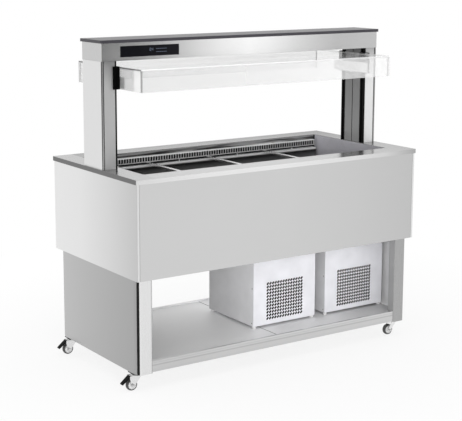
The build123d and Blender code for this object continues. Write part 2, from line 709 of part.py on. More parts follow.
def brake_pedal():
    half = ARM_Y - ARM_GAP
    tip_z = PIVOT_Z - PEDAL_FALL
    outline = Polygon(
        (-PIVOT_X, PIVOT_Z + 2 * SHEET),
        (-PIVOT_X - 4 * SHEET, PIVOT_Z + SHEET),
        (-PEDAL_REACH, tip_z + SHEET),
        (-PEDAL_REACH, tip_z - SHEET),
        (-PIVOT_X - 3 * SHEET, PIVOT_Z - 2 * SHEET),
        (-PIVOT_X, PIVOT_Z - 2 * SHEET),
        align=None,
    )
    outline += Pos(-PIVOT_X, PIVOT_Z) * Circle(2 * SHEET)
    pedal = extrude(Plane.XZ * outline, half, both=True)
    return pedal - rod(-PIVOT_X, -2 * half, 2 * half, PIVOT_Z, PIN_RADIUS + BORE_GAP)


def build():
    os.makedirs("parts", exist_ok=True)
    save("worktop", worktop())
    save("front_panel", front_panel())
    save("back_panel", back_of(front_panel()))
    save("right_end_panel", right_end_panel())
    save("left_end_panel", left_of(right_end_panel()))
    save("base_pan", base_pan())
    save("insulation", insulation())
    save("well_tank", well_tank())
    save("air_grille", air_grille())
    save("pan_rails", *pan_rails())
    for name, step in (("left", -1), ("middle", 0), ("right", 1)):
        save(f"cross_bar_{name}", cross_bar(step * BAY_PITCH))
    save("air_deck", air_deck())
    save("evaporator", evaporator())
    save("evaporator_fan_plate", evaporator_fan_plate())
    save("evaporator_fan_left", cooler_fan(-COOLER_FAN_SPACING / 2))
    save("evaporator_fan_right", cooler_fan(COOLER_FAN_SPACING / 2))
    save("drain_fitting", drain_fitting())

    save("right_post", right_post())
    save("left_post", left_of(right_post()))
    save("hood_tracks", *corners_of(track()))
    save("canopy_shell", canopy_shell())
    save("canopy_top", canopy_top())
    save("canopy_underside", canopy_underside())
    save("lamp_diffuser", lamp_diffuser())
    save("control_panel", control_panel())

    save("hood_top_pane", hood_top_pane())
    save("hood_front_pane", hood_front_pane())
    save("hood_back_pane", back_of(hood_front_pane()))
    save("hood_end_panes", hood_end_pane(), left_of(hood_end_pane()))
    save("hood_carriages", *corners_of(carriage()))
    save("hood_bridges", bridge(), left_of(bridge()))

    save("right_lower_panel", right_lower_panel())
    save("left_lower_panel", left_of(right_lower_panel()))
    save("legs", *corners_of(leg()))
    save("leg_strips", *corners_of(leg_strip()))
    save("shelf_rails", shelf_rail(), back_of(shelf_rail()))
    save("right_shelf_plate", right_shelf_plate())
    save("left_shelf_plate", left_of(right_shelf_plate()))
    for side, x in zip(("left", "right"), UNIT_CENTRES):
        save(f"{side}_unit_housing", *unit_housing(x))
        save(f"{side}_unit_grille", unit_grille(x))
        save(f"condenser_fan_{side}", condenser_fan(x))
    save("condensers", *[condenser(x) for x in UNIT_CENTRES])
    save("compressors", *[compressor(x) for x in UNIT_CENTRES])
    save("condenser_fan_motors", *[condenser_fan_motor(x) for x in UNIT_CENTRES])

    spots = {
        "front_left": (-CASTOR_X, -CASTOR_Y),
        "back_left": (-CASTOR_X, CASTOR_Y),
        "front_right": (CASTOR_X, -CASTOR_Y),
        "back_right": (CASTOR_X, CASTOR_Y),
    }
    save("castor_plates", *[Pos(x, y, 0) * castor_plate() for x, y in spots.values()])
    for corner, (x, y) in spots.items():
        braked = x < 0
        save(f"castor_fork_{corner}", Pos(x, y, 0) * castor_fork(braked))
        save(f"castor_wheel_{corner}", Pos(x, y, 0) * castor_wheel())
        if braked:
            save(f"brake_pedal_{corner}", Pos(x, y, 0) * brake_pedal())


build()
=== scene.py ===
# %% [markdown]
# A cold buffet counter: a long steel worktop with a sunken well, two posts that carry a canopy, a clear
# hood that slides on the posts, and an open shelf below with two cooling units, all on four castors. The
# construction is loaded as a fixed frame. This script gives every piece its finish and its fine detail,
# then sets up a plain pale studio with the camera where the photographer stood.

# %% Load the frame
import json
import math

import bmesh
import bpy
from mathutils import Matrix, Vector


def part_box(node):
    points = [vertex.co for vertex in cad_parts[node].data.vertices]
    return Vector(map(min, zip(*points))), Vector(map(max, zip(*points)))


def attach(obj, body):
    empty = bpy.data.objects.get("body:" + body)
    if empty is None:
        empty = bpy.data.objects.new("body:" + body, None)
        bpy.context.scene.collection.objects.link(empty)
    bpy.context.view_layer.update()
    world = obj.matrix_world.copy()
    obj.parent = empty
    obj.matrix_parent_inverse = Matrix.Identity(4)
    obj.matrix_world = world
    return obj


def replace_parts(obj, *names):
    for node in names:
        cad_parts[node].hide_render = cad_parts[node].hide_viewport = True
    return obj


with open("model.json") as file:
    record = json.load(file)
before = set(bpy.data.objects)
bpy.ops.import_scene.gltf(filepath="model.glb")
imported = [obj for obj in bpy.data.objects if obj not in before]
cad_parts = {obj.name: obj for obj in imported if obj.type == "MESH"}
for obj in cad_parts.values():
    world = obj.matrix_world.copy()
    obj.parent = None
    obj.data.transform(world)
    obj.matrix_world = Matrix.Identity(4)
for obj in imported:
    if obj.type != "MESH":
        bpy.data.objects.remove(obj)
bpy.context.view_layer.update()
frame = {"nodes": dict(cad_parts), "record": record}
body_of = {node: body for body, nodes in frame["record"]["behaviour"]["bodies"].items() for node in nodes}

# %% [markdown]
# Lengths are metres, but sheet metal is easier to think of in millimetres, so one constant turns the one
# into the other. The counter's middle is read from the worktop, because the brake pedals stick out at the
# left end and shift the frame's origin.

# %% Key places read from the frame
MM = 0.001
SIDES = ("left", "right")
worktop_low, worktop_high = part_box("worktop")
middle_x = (worktop_low.x + worktop_high.x) / 2
worktop_z = worktop_high.z
print("middle", round(middle_x, 4), "worktop", round(worktop_z, 3))

# %% [markdown]
# A finish is a small tree of shader nodes, and a shape that repeats is a small tree of geometry nodes. Two
# helpers serve both. A Wire wraps one output socket and overloads the arithmetic operators, so that an
# expression such as 0.3 + 0.1 * grain adds its own Math nodes. A Tree adds any other node from its type,
# its settings and the values or links of its sockets.

# %% Wires and trees
SHARED_KINDS = ("Math", "CombineXYZ")


def operator(operation, reflected=False):
    def method(self, other):
        return self.maths(operation, other, self) if reflected else self.maths(operation, self, other)

    return method


class Wire:
    __add__ = operator("ADD")
    __radd__ = operator("ADD", reflected=True)
    __sub__ = operator("SUBTRACT")
    __rsub__ = operator("SUBTRACT", reflected=True)
    __mul__ = operator("MULTIPLY")
    __rmul__ = operator("MULTIPLY", reflected=True)
    __truediv__ = operator("DIVIDE")

    def __init__(self, owner, socket):
        self.owner = owner
        self.socket = socket

    def maths(self, operation, first, second):
        return self.owner.node("Math", {"operation": operation}, {0: first, 1: second})


class Tree:
    family = "ShaderNode"

    def feed(self, socket, value):
        if isinstance(value, Wire):
            self.tree.links.new(value.socket, socket)
        else:
            socket.default_value = value

    def node(self, kind, settings=None, sockets=None, out=0):
        family = "ShaderNode" if kind in SHARED_KINDS else self.family
        made = self.tree.nodes.new(family + kind)
        for name, value in (settings or {}).items():
            if name == "stops":
                ramp = made.color_ramp.elements
                ramp[0].position, ramp[0].color = value[0]
                ramp[1].position, ramp[1].color = value[-1]
                for place, colour in value[1:-1]:
                    ramp.new(place).color = colour
            else:
                setattr(made, name, value)
        for key, value in (sockets or {}).items():
            self.feed(made.inputs[key], value)
        return Wire(self, made.outputs[out])


# %% [markdown]
# A Finish is the tree of one material. Its set method feeds the shader, and the others add what these
# finishes share: a noise, the share of the way along an axis, a ramp of greys, a mix of two colours, a slow
# drift of tone and a fine bump. A Mix node's colour sockets are found by number, because it keeps a pair
# for each kind of value.

# %% Finishes
BUMP_DEPTH = 0.2 * MM
MIX_FIRST = 6
MIX_SECOND = 7
MIX_RESULT = 2


def grey(value):
    return (value, value, value, 1.0)


class Finish(Tree):
    def __init__(self, name, holder=bpy.data.materials, shader="Principled BSDF"):
        self.material = holder.new(name)
        self.material.use_nodes = True
        self.tree = self.material.node_tree
        self.shader = self.tree.nodes[shader]

    def set(self, **sockets):
        for name, value in sockets.items():
            self.feed(self.shader.inputs[name.replace("_", " ")], value)

    def surface(self, shader):
        self.feed(self.tree.nodes["Material Output"].inputs["Surface"], shader)

    def place(self):
        return self.node("TexCoord", out="Object")

    def noise(self, size=1.0, stretch=(1, 1, 1), detail=2.0):
        stretched = self.node("Mapping", None, {"Vector": self.place(), "Scale": stretch})
        return self.node("TexNoise", None, {"Vector": stretched, "Scale": size, "Detail": detail})

    def along(self, letter, first, last):
        place = self.node("SeparateXYZ", None, {"Vector": self.place()}, out=letter)
        return (place - first) / (last - first)

    def ramp(self, share, stops):
        greys = [(place, grey(tone)) for place, tone in stops]
        return self.node("ValToRGB", {"stops": greys}, {"Fac": share})

    def mix(self, factor, first, second, kind="MIX"):
        settings = {"data_type": "RGBA", "blend_type": kind}
        sockets = {"Factor": factor, MIX_FIRST: first, MIX_SECOND: second}
        return self.node("Mix", settings, sockets, out=MIX_RESULT)

    # A drift multiplies the colour by a ramp of tones: painted reflection and painted shade.
    def drift(self, colour, drifts):
        for letter, first, last, tones in drifts:
            stops = [(step / (len(tones) - 1), tone) for step, tone in enumerate(tones)]
            shade = self.ramp(self.along(letter, first, last), stops)
            colour = self.mix(1.0, colour, shade, "MULTIPLY")
        return colour

    def bump(self, height, strength):
        sockets = {"Height": height, "Strength": strength, "Distance": BUMP_DEPTH}
        return self.node("Bump", None, sockets)


# %% [markdown]
# Stainless sheet is brushed: fine scratches run one way, so they are a noise stretched along the grain.
# They steer roughness, a very small bump and a little of the colour. A slow noise adds the cloudiness that
# handling leaves. A finish can also drift from one tone to others; these drifts are painted reflection and
# painted shade, standing in for the surroundings that bright sheet mirrors.

# %% Brushed steel
AXES = "XYZ"
GRAIN_ACROSS = 1400.0
GRAIN_ALONG = 9.0
GRAIN_SHARE = 0.7
GRAIN_BUMP = 0.08
CLOUD_SIZE = 5.0
CLOUD_ROUGHNESS = 0.06
STEEL_SPREAD = 0.05


def steel(name, tone, rough, grain="X", scratch=0.06, drifts=(), metal=1.0, glance=1.0):
    finish = Finish(name)
    stretch = [GRAIN_ACROSS] * 3
    stretch[AXES.index(grain)] = GRAIN_ALONG
    scratches = finish.noise(stretch=stretch, detail=3.0)
    cloud = finish.noise(CLOUD_SIZE, detail=3.0)
    mottle = GRAIN_SHARE * scratches + (1 - GRAIN_SHARE) * cloud
    colour = finish.mix(mottle, grey(tone * (1 - STEEL_SPREAD)), grey(tone * (1 + STEEL_SPREAD)))
    finish.set(
        Base_Color=finish.drift(colour, drifts),
        Roughness=rough + scratch * (scratches - 0.5) + CLOUD_ROUGHNESS * (cloud - 0.5),
        Metallic=metal,
        Specular_Tint=grey(glance),
        Normal=finish.bump(scratches, GRAIN_BUMP),
    )
    return finish.material


# %% [markdown]
# A drift lists its tones from one end of a run to the other. Three runs come back often: along the counter,
# across it from front to back, and across the end panels from back to front.

# %% Runs for slow drifts
end_low, end_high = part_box("left_end_panel")


def along_counter(*tones):
    return ("X", worktop_low.x, worktop_high.x, tones)


def to_back(*tones):
    return ("Y", worktop_low.y, worktop_high.y, tones)


def to_front(*tones):
    return ("Y", end_high.y, end_low.y, tones)


print("drift along", [round(place, 3) for place in along_counter()[1:3]])

# %% [markdown]
# The long panels are brushed along their length, the ends and legs upright. Their drifts are painted
# reflection and painted shade: the ends darken towards the camera, the long panels and the right legs
# darken towards the right, the shelf darkens at both ends, and a painted dark band marks the left legs'
# inner edge. The fold at the end panels' corner has a painted highlight. The shelf is dull, and the rails in
# front of it are folded; their bands of tone are painted shade and highlight along the folds, which show as
# thin dark lines.

# %% Steel of the panels, legs and shelf
LEG_EDGE_SHADE = 12.0 * MM
rail_low, rail_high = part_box("shelf_rails")
panel_steel = steel("brushed steel along", 0.62, 0.15, drifts=[along_counter(1, 1, 0.99, 0.94, 0.86)])
end_steel = steel("brushed end steel", 0.80, 0.30, "Z", drifts=[to_front(1, 0.97, 0.85, 0.70)])
corner_painted_highlight = steel("bright corner fold", 0.76, 0.25, "Z")
lower_end_steel = steel("brushed lower end steel", 0.52, 0.30, "Z", drifts=[to_front(1, 0.90, 0.81, 0.73)])
# Painted shade: the right legs are darker, and a dark band marks the left legs' inner edge.
leg_steel = steel("bright leg steel", 0.80, 0.28, "Z", drifts=[
    along_counter(1, 1, 0.6, 0.5),
    ("X", rail_low.x - LEG_EDGE_SHADE, rail_low.x + LEG_EDGE_SHADE, (1, 0.9, 0.45, 0.45, 0.9, 1)),
])
# Painted shade: the shelf darkens towards both ends.
shelf_steel = steel(
    "brushed shelf steel", 0.95, 0.60, metal=0.40, drifts=[along_counter(0.60, 0.84, 1, 0.92, 0.58)]
)
# Painted shade and painted highlight in bands along the rails' folds.
rail_fold_shade_and_highlight = (0.98, 0.90, 0.92, 0.94, 0.94, 0.94, 0.72, 1, 0.86, 1, 1)
rail_steel = steel("folded rail steel", 0.66, 0.34, drifts=[("Z", rail_low.z, rail_high.z, rail_fold_shade_and_highlight)])
print("rails from", round(rail_low.z, 3), "to", round(rail_high.z, 3))

# %% [markdown]
# The worktop is polished, and its colour carries a painted reflection: paler in front, darker at the back
# and towards the right. Its folded ends have painted shade and its front fold a painted highlight, and the
# strip beside the left post is a darker copy, painted shade. The canopy's front has one painted sheen at its
# middle, and its ends are a darker copy, painted shade.

# %% Steel of the worktop and canopy
worktop_steel = steel(
    "polished worktop steel", 0.72, 0.24, "X", 0.03, glance=0.83,
    drifts=[to_back(1, 1, 0.74, 0.50), along_counter(0.9, 1, 1, 0.9, 0.65)],
)
worktop_strip_painted_shade = steel(
    "polished worktop end", 0.57, 0.24, "X", 0.03, glance=0.83, drifts=[to_back(1.05, 1, 1, 1)]
)
# Painted shade on the worktop's folded ends, painted highlight on its front fold.
edge_steel = steel("dark folded end edge", 0.16, 0.32, "Y")
front_edge_steel = steel(
    "bright folded front edge", 0.82, 0.20,
    drifts=[along_counter(0.88, 0.95, 1, 1, 1, 0.95, 0.9, 0.8, 0.5)],
)
# Painted sheen: the canopy's front is brightest at its middle.
canopy_painted_sheen = steel(
    "brushed canopy steel", 0.74, 0.22, drifts=[along_counter(0.67, 0.78, 0.93, 1, 0.81, 0.68, 0.77)]
)
canopy_end_painted_shade = steel("brushed canopy end", 0.57, 0.28, "Z")
print("steels so far", len(bpy.data.materials))

# %% [markdown]
# The posts are satin aluminium. Their fronts are a duller copy with painted shade under the canopy and on
# the left post, and their inner faces, which look away from the lamps, are a grey copy with painted shade
# towards the top.

# %% Aluminium of the posts
POST_SHADE = 160.0 * MM
canopy_low_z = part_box("canopy_shell")[0].z
post_aluminium = steel("satin anodised aluminium", 0.74, 0.30, "Z", 0.05)
post_front_painted_shade = steel("satin post front", 0.79, 0.42, "Z", 0.05, metal=0.4, drifts=[
    ("Z", canopy_low_z - POST_SHADE, canopy_low_z, (1, 1, 0.92, 0.75, 0.5)),
    along_counter(0.525, 0.65, 0.80, 1),
])
inner_post_painted_shade = steel(
    "grey inner post face", 0.33, 0.45, "Z", 0.05, metal=0.2,
    drifts=[("Z", worktop_z, canopy_low_z, (1, 0.85, 0.68, 0.60, 0.55, 0.55))],
)
print("canopy from", round(canopy_low_z, 3))

# %% [markdown]
# The well is lit only from above. Its deck has painted shade and is almost black just under the lip, while
# the lip itself runs from painted shade to a painted highlight in a few millimetres. The bars that lie across
# it are bright.

# %% Steel of the well and of small pieces
WELL_SHADE = 40.0 * MM
ledge_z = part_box("cross_bar_left")[0].z
lip_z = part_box("air_deck")[1].z
well_painted_shade = steel(
    "shaded well steel", 0.30, 0.30, "X", 0.03, drifts=[("Z", lip_z - WELL_SHADE, lip_z, (1, 1, 0.6, 0.1))]
)
lip_shade_and_highlight = steel(
    "bright lip steel", 0.95, 0.35, "X", 0.03, metal=0.2,
    drifts=[("Z", lip_z, ledge_z, (0.02, 0.05, 0.7, 1, 1))],
)
bar_steel = steel("bright bar steel", 0.84, 0.22, "Y")
zinc_steel = steel("bright zinc", 0.80, 0.28, "Z", 0.05)
dark_zinc = steel("dark castor plate", 0.05, 0.45, "X", 0.05)
fin_aluminium = steel("thin fin aluminium", 0.45, 0.35, "Z", 0.05)
screw_steel = steel("screw steel", 0.66, 0.25, "Z", 0.05)
print("ledge at", round(ledge_z, 3), "lip at", round(lip_z, 3))

# %% [markdown]
# Enamel has a fine orange peel and moulded plastic a fine pebble grain. One noise at that size steers
# roughness and a bump, and a slow one keeps the colour from being flat.

# %% Enamel and moulded plastic
PEBBLE_ROUGHNESS = 0.10
PEBBLE_BUMP = 0.10
BLOOM_SIZE = 14.0
BLOOM_ROUGHNESS = 0.08
BLOOM_DARK = 0.88
BLOOM_LIGHT = 1.08


def scaled(colour, share):
    return tuple(min(1.0, share * part) for part in colour[:3]) + (1.0,)


def moulded(name, colour, rough, grain=900.0, shine=0.5, metal=0.0, drifts=()):
    finish = Finish(name)
    pebble = finish.noise(grain)
    bloom = finish.noise(BLOOM_SIZE)
    mottled = finish.mix(bloom, scaled(colour, BLOOM_DARK), scaled(colour, BLOOM_LIGHT))
    finish.set(
        Base_Color=finish.drift(mottled, drifts),
        Roughness=rough + PEBBLE_ROUGHNESS * (pebble - 0.5) + BLOOM_ROUGHNESS * (bloom - 0.5),
        Normal=finish.bump(pebble, PEBBLE_BUMP),
        Specular_IOR_Level=shine,
        Metallic=metal,
    )
    return finish.material


black_plastic = moulded("black moulded plastic", grey(0.003), 0.60, shine=0.10)
carriage_plastic = moulded("dull black carriage plastic", grey(0.002), 0.70, shine=0.02)
# Real black rubber on the leg strips; on the posts the same black is a painted shadow at the groove.
black_rubber_and_painted_shadow = moulded("black rubber strip and painted shadow", grey(0.006), 0.60, 1200.0, shine=0.15)
tyre_rubber = moulded("grey tyre", grey(0.07), 0.60, 800.0)
hub_plastic = moulded("pale grey hub", grey(0.70), 0.40, 700.0)
foot_plastic = moulded("pale foot plastic", grey(0.80), 0.45, 700.0)
slab_finish = moulded("smooth anthracite slab", (0.040, 0.037, 0.046, 1), 0.34, 700.0, shine=0.4)
control_glass = moulded("black glass", (0.004, 0.004, 0.006, 1), 0.14, 60.0, shine=0.15)
opal_plastic = moulded("opal diffuser", grey(0.85), 0.40, 500.0)
foam_finish = moulded("rigid foam", (0.80, 0.72, 0.48, 1), 0.85, 400.0)
joint_sealant = moulded("grey joint sealant", grey(0.22), 0.60, 700.0)
white_enamel = moulded("light enamel", (0.88, 0.88, 0.92, 1), 0.40, 260.0)
# Real black enamel on compressors and motors; painted shade in the unit slots and on the condensers.
black_enamel_and_painted_shade = moulded("black enamel and painted shade", grey(0.008), 0.50, 300.0, shine=0.2)
print("finishes so far", len(bpy.data.materials))

# %% [markdown]
# Some steel faces take the moulded finish and look more like pale paint than like metal, some with a little
# metal in it, and this is painted light: the ledges carry a painted reflection of the bright studio, and the
# faces of the lower panels and the back rail that look into the shelf are paler, against the shade under the
# counter. The right legs' faces into the shelf are a grey copy, painted shade. The units' side walls are a
# darker copy of the front enamel with painted shade towards the back, and the well's end walls carry a
# painted reflection that lightens towards the back.

# %% Dull pale faces
unit_low, unit_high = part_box("left_unit_housing")
tank_low, tank_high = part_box("well_tank")
ledge_painted_light = moulded("pale ledge painted light", grey(0.92), 0.30, 600.0)
inner_panel_painted_light = moulded("pale inner panel face", grey(0.78), 0.45, 600.0, metal=0.2)
inner_leg_painted_shade = moulded("grey inner leg face", grey(0.40), 0.50, 600.0, metal=0.2)
bridge_plate = moulded("pale bridge plate", grey(0.82), 0.40, 600.0, metal=0.2)
side_enamel_painted_shade = moulded(
    "shaded side enamel", (0.76, 0.76, 0.775, 1), 0.40, 260.0,
    drifts=[("Y", unit_low.y, unit_high.y, (1, 0.92, 0.78, 0.65, 0.55))],
)
end_wall_painted_reflection = moulded(
    "pale end wall", (0.70, 0.69, 0.74, 1), 0.30, 600.0, metal=0.3,
    drifts=[("Y", tank_low.y, tank_high.y, (0.85, 0.9, 1, 1.05, 1.25))],
)
print("well from", round(tank_low.x, 3), "to", round(tank_high.x, 3))

# %% [markdown]
# The hood is clear acrylic. Refraction through thin sheet is slow to render and hard to export, so the
# sheet is partly see-through by its alpha, and denser where it is seen edge-on. Its front carries a painted
# reflection of the studio from grey at the left to white at the right, and its end a painted reflection with
# a grey middle between white bands.

# %% Clear acrylic
EDGE_ON_BLEND = 0.25
HAZE_SIZE = 9.0
HAZE_SPREAD = 0.03
END_REFLECTION_BANDS = (1,) * 3 + (0.56,) * 17 + (1,) * 3
hood_low, hood_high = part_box("hood_top_pane")


def acrylic(name, tone, clear, rim, drifts=()):
    finish = Finish(name)
    edge_on = finish.node("LayerWeight", None, {"Blend": EDGE_ON_BLEND}, out="Facing")
    haze = finish.noise(HAZE_SIZE)
    colour = finish.mix(haze, grey(tone * (1 - HAZE_SPREAD)), grey(tone))
    finish.set(
        Base_Color=finish.drift(colour, drifts),
        Roughness=0.05 + 0.04 * haze,
        Alpha=clear + rim * edge_on,
    )
    return finish.material


front_acrylic_painted_reflection = acrylic(
    "clear front acrylic", 1.0, 0.32, 0.25, [("X", hood_low.x, hood_high.x, (0.58, 0.64, 0.72, 0.84, 0.95))]
)
end_acrylic_painted_reflection = acrylic("clear end acrylic", 1.0, 0.32, 0.25, [("Y", hood_low.y, hood_high.y, END_REFLECTION_BANDS)])
thin_acrylic = acrylic("clear unlit acrylic", 0.80, 0.14, 0.20)
far_acrylic = acrylic("clear far acrylic", 0.95, 0.04, 0.10)
# Painted shade and painted highlight on the panes' cut edges and seams.
edge_acrylic_painted_shade = acrylic("acrylic end edge", 0.10, 0.75, 0.20)
edge_acrylic_painted_highlight = acrylic("acrylic front edge", 0.97, 0.55, 0.20)
print("finishes", len(bpy.data.materials))

# %% [markdown]
# Folded sheet never has knife edges: each bend and cut catches a thin line of light. So every node is
# copied, its triangles are merged back into flat faces, a Bevel modifier breaks its edges, and weighted
# normals keep the large faces flat. The copy stands for the node. Where a node has several finishes, a rule
# on each face chooses, and a sheet can be cut across where its finish changes.

# %% Copies with broken edges
EDGE_BREAK = 0.7 * MM
SHARP = math.radians(28)
FLAT = math.radians(0.5)
MERGE_REACH = 0.01 * MM
LARGE_FACE_WEIGHT = 100


def merged_mesh(node, cuts):
    mesh = frame["nodes"][node].data.copy()
    shape = bmesh.new()
    shape.from_mesh(mesh)
    bmesh.ops.remove_doubles(shape, verts=shape.verts, dist=MERGE_REACH)
    bmesh.ops.dissolve_limit(shape, angle_limit=FLAT, verts=shape.verts, edges=shape.edges)
    for x in cuts:
        every = shape.verts[:] + shape.edges[:] + shape.faces[:]
        bmesh.ops.bisect_plane(shape, geom=every, plane_co=(x, 0, 0), plane_no=(1, 0, 0))
    shape.to_mesh(mesh)
    shape.free()
    mesh.materials.clear()
    return mesh


def add(name, mesh, node, *materials):
    for material in materials:
        if mesh.materials.find(material.name) < 0:
            mesh.materials.append(material)
    piece = bpy.data.objects.new(name, mesh)
    bpy.context.scene.collection.objects.link(piece)
    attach(piece, body_of[node])
    return piece


def soften(piece, width=EDGE_BREAK):
    piece.data.shade_smooth()
    bevel = piece.modifiers.new("broken edges", "BEVEL")
    bevel.width = width
    bevel.segments = 2
    bevel.limit_method = "ANGLE"
    bevel.angle_limit = SHARP
    flat = piece.modifiers.new("flat faces", "WEIGHTED_NORMAL")
    flat.mode = "FACE_AREA"
    flat.weight = LARGE_FACE_WEIGHT


def broken(node, materials, choose=None, width=EDGE_BREAK, cuts=()):
    piece = add(node + "_finished", merged_mesh(node, cuts), node, *materials)
    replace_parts(piece, node)
    if choose:
        for face in piece.data.polygons:
            face.material_index = int(choose(face))
    soften(piece, width)


# %% [markdown]
# Most pieces have one finish all over: plain sheets, bars, moulded plastics and castings. A table of
# finishes and nodes is enough for them.

# %% Pieces of one finish
ONE_FINISH = [
    (well_painted_shade, "air_deck"),
    (bar_steel, "cross_bar_left", "cross_bar_middle", "cross_bar_right"),
    (panel_steel, "front_panel", "back_panel", "base_pan", "canopy_underside"),
    (slab_finish, "canopy_top"),
    (control_glass, "control_panel"),
    (opal_plastic, "lamp_diffuser"),
    (black_plastic, "hood_tracks"),
    (carriage_plastic, "hood_carriages"),
    (bridge_plate, "hood_bridges"),
    (black_rubber_and_painted_shadow, "leg_strips"),
    (shelf_steel, "left_shelf_plate", "right_shelf_plate"),
    (dark_zinc, "castor_plates"),
    (black_plastic, "drain_fitting"),
    (panel_steel, "evaporator_fan_plate"),
    (black_enamel_and_painted_shade, "compressors", "condenser_fan_motors"),
    (black_plastic, "brake_pedal_back_left", "brake_pedal_front_left"),
    (black_plastic, "condenser_fan_left", "condenser_fan_right"),
    (black_plastic, "evaporator_fan_left", "evaporator_fan_right"),
]
for material, *nodes in ONE_FINISH:
    for node in nodes:
        broken(node, [material])
print("pieces of one finish", sum(len(row) - 1 for row in ONE_FINISH))

# %% [markdown]
# A castor's fork hangs from a round swivel head. The head is dark against the bright pressed arms, so a
# face's height chooses its finish.

# %% Castor forks
SWIVEL_HEAD = 6.0 * MM
castor_plate_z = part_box("castor_plates")[0].z


def on_swivel(face):
    return face.center.z > castor_plate_z - SWIVEL_HEAD


for node in frame["nodes"]:
    if node.startswith("castor_fork"):
        broken(node, [zinc_steel, dark_zinc], on_swivel)
print("castor plates at", round(castor_plate_z, 4))

# %% [markdown]
# The two shelf plates meet in a closed joint, which shows as a thin dark line from front to back. A flat
# bead of sealant, thinner than a sheet, lies along it. It is one box, and the control panel's marks are
# boxes too, so one helper makes them.

# %% Joint between the shelf plates
BEAD_WIDE = 4.0 * MM
BEAD_TALL = 0.5 * MM
BEAD_SHORT = 4.0 * MM
BEAD_BREAK = 0.2 * MM


def add_box(shape, size, middle):
    verts = bmesh.ops.create_cube(shape, size=1.0)["verts"]
    bmesh.ops.scale(shape, vec=size, verts=verts)
    bmesh.ops.translate(shape, vec=middle, verts=verts)


def mesh_from(name, shape):
    mesh = bpy.data.meshes.new(name)
    shape.to_mesh(mesh)
    shape.free()
    return mesh


plate_low, plate_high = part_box("left_shelf_plate")
bead_size = (BEAD_WIDE, plate_high.y - plate_low.y - BEAD_SHORT, BEAD_TALL)
bead_shape = bmesh.new()
add_box(bead_shape, bead_size, (plate_high.x, (plate_low.y + plate_high.y) / 2, plate_high.z))
bead_mesh = mesh_from("shelf joint", bead_shape)
soften(add("shelf_joint_bead", bead_mesh, "left_shelf_plate", joint_sealant), BEAD_BREAK)
print("joint at", round(plate_high.x, 3))

# %% [markdown]
# The worktop is one sheet with four looks: its top, its folded ends with painted shade, its front fold with
# a painted highlight, and the strip beside the left post, a darker copy with painted shade, which is cut from
# the rest where the well begins. The canopy's ends are darker than its front, painted shade. The rules ask
# which way a face looks: either way along an axis, or one way only.

# %% Worktop and canopy
STRAIGHT = 0.9
END_REACH = 0.7
FOLD_REACH = 1.0 * MM


def faces(face, way):
    part = face.normal[AXES.index(way[-1])]
    if way[0] == "-":
        return part < -STRAIGHT
    return (part if way[0] == "+" else abs(part)) > STRAIGHT


def on_end(face):
    return faces(face, "X") and abs(face.center.x - middle_x) > END_REACH


def on_worktop(face):
    if faces(face, "+Z") and face.center.x < tank_low.x:
        return 3
    return 2 if faces(face, "-Y") and face.center.y < worktop_low.y + FOLD_REACH else on_end(face)


worktop_finishes = [worktop_steel, edge_steel, front_edge_steel, worktop_strip_painted_shade]
broken("worktop", worktop_finishes, on_worktop, cuts=[tank_low.x])
broken("canopy_shell", [canopy_painted_sheen, canopy_end_painted_shade], on_end)
print("worktop cut at", round(tank_low.x, 3))

# %% [markdown]
# The units' housings stand on moulded feet, and their side walls have painted shade. The end panels wrap the
# corners, and the narrow wrap has a painted highlight. The lower panels, the back rail and the right legs
# have
# one face that looks into the open shelf: on the panels and the rail it is paler, painted light against the
# shade under the counter, and on the legs it is grey, painted shade.

# %% Housings, end panels, rails and legs
FOOT_REACH = 0.5 * MM
unit_floor_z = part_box("left_unit_grille")[0].z


def on_housing(face):
    return 1 if face.center.z < unit_floor_z - FOOT_REACH else 2 * faces(face, "X")


def on_wrap(face):
    return faces(face, "Y")


def looks_in(face):
    return faces(face, "-X" if face.center.x > middle_x else "+X")


def on_back_rail(face):
    return face.center.y > 0 and faces(face, "-Y")


def on_right_leg(face):
    return face.center.x > middle_x and faces(face, "-X")


for ending, finishes, rule in (
    ("_unit_housing", [white_enamel, foot_plastic, side_enamel_painted_shade], on_housing),
    ("_end_panel", [end_steel, corner_painted_highlight], on_wrap),
    ("_lower_panel", [lower_end_steel, inner_panel_painted_light], looks_in),
):
    for side in SIDES:
        broken(side + ending, finishes, rule)
broken("shelf_rails", [rail_steel, ledge_painted_light], on_back_rail)
broken("legs", [leg_steel, inner_leg_painted_shade], on_right_leg)
print("units stand at", round(unit_floor_z, 3))

# %% [markdown]
# A post is an extrusion with four looks: light sides, a slightly bowed front and back that are duller, a
# grey inner face between the tracks with painted shade, and a painted shadow where the side meets the
# front: the groove, the cut corner and the forward faces that lie back from the front are black, and the
# strip beside the groove takes the inner face's painted shade.

# %% Posts
GROOVE_START = 60.0 * MM
GROOVE_END = 63.0 * MM
GROOVE_REACH = 0.1 * MM
POST_BREAK = 0.4 * MM
UPRIGHT = 0.5
SLANTED = 0.1
BOWED = 0.7
FRONT_SHARE = 0.8
SIDE_LOOK, PAINTED_SHADE_LOOK, FRONT_LOOK, PAINTED_SHADOW_LOOK = range(4)
post_low, post_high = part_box("right_post")
post_inner_x = post_low.x - middle_x


def on_post(face):
    out = abs(face.center.x - middle_x) - post_inner_x
    along, deep, rising = (abs(part) for part in face.normal)
    in_groove = GROOVE_START - GROOVE_REACH < out < GROOVE_END + GROOVE_REACH
    if rising < UPRIGHT and (in_groove or abs(along - deep) < SLANTED):
        return PAINTED_SHADOW_LOOK
    if looks_in(face) or (out > GROOVE_END and deep > STRAIGHT):
        return PAINTED_SHADE_LOOK
    if deep > BOWED:
        return FRONT_LOOK if abs(face.center.y) > FRONT_SHARE * post_high.y else PAINTED_SHADOW_LOOK
    return SIDE_LOOK


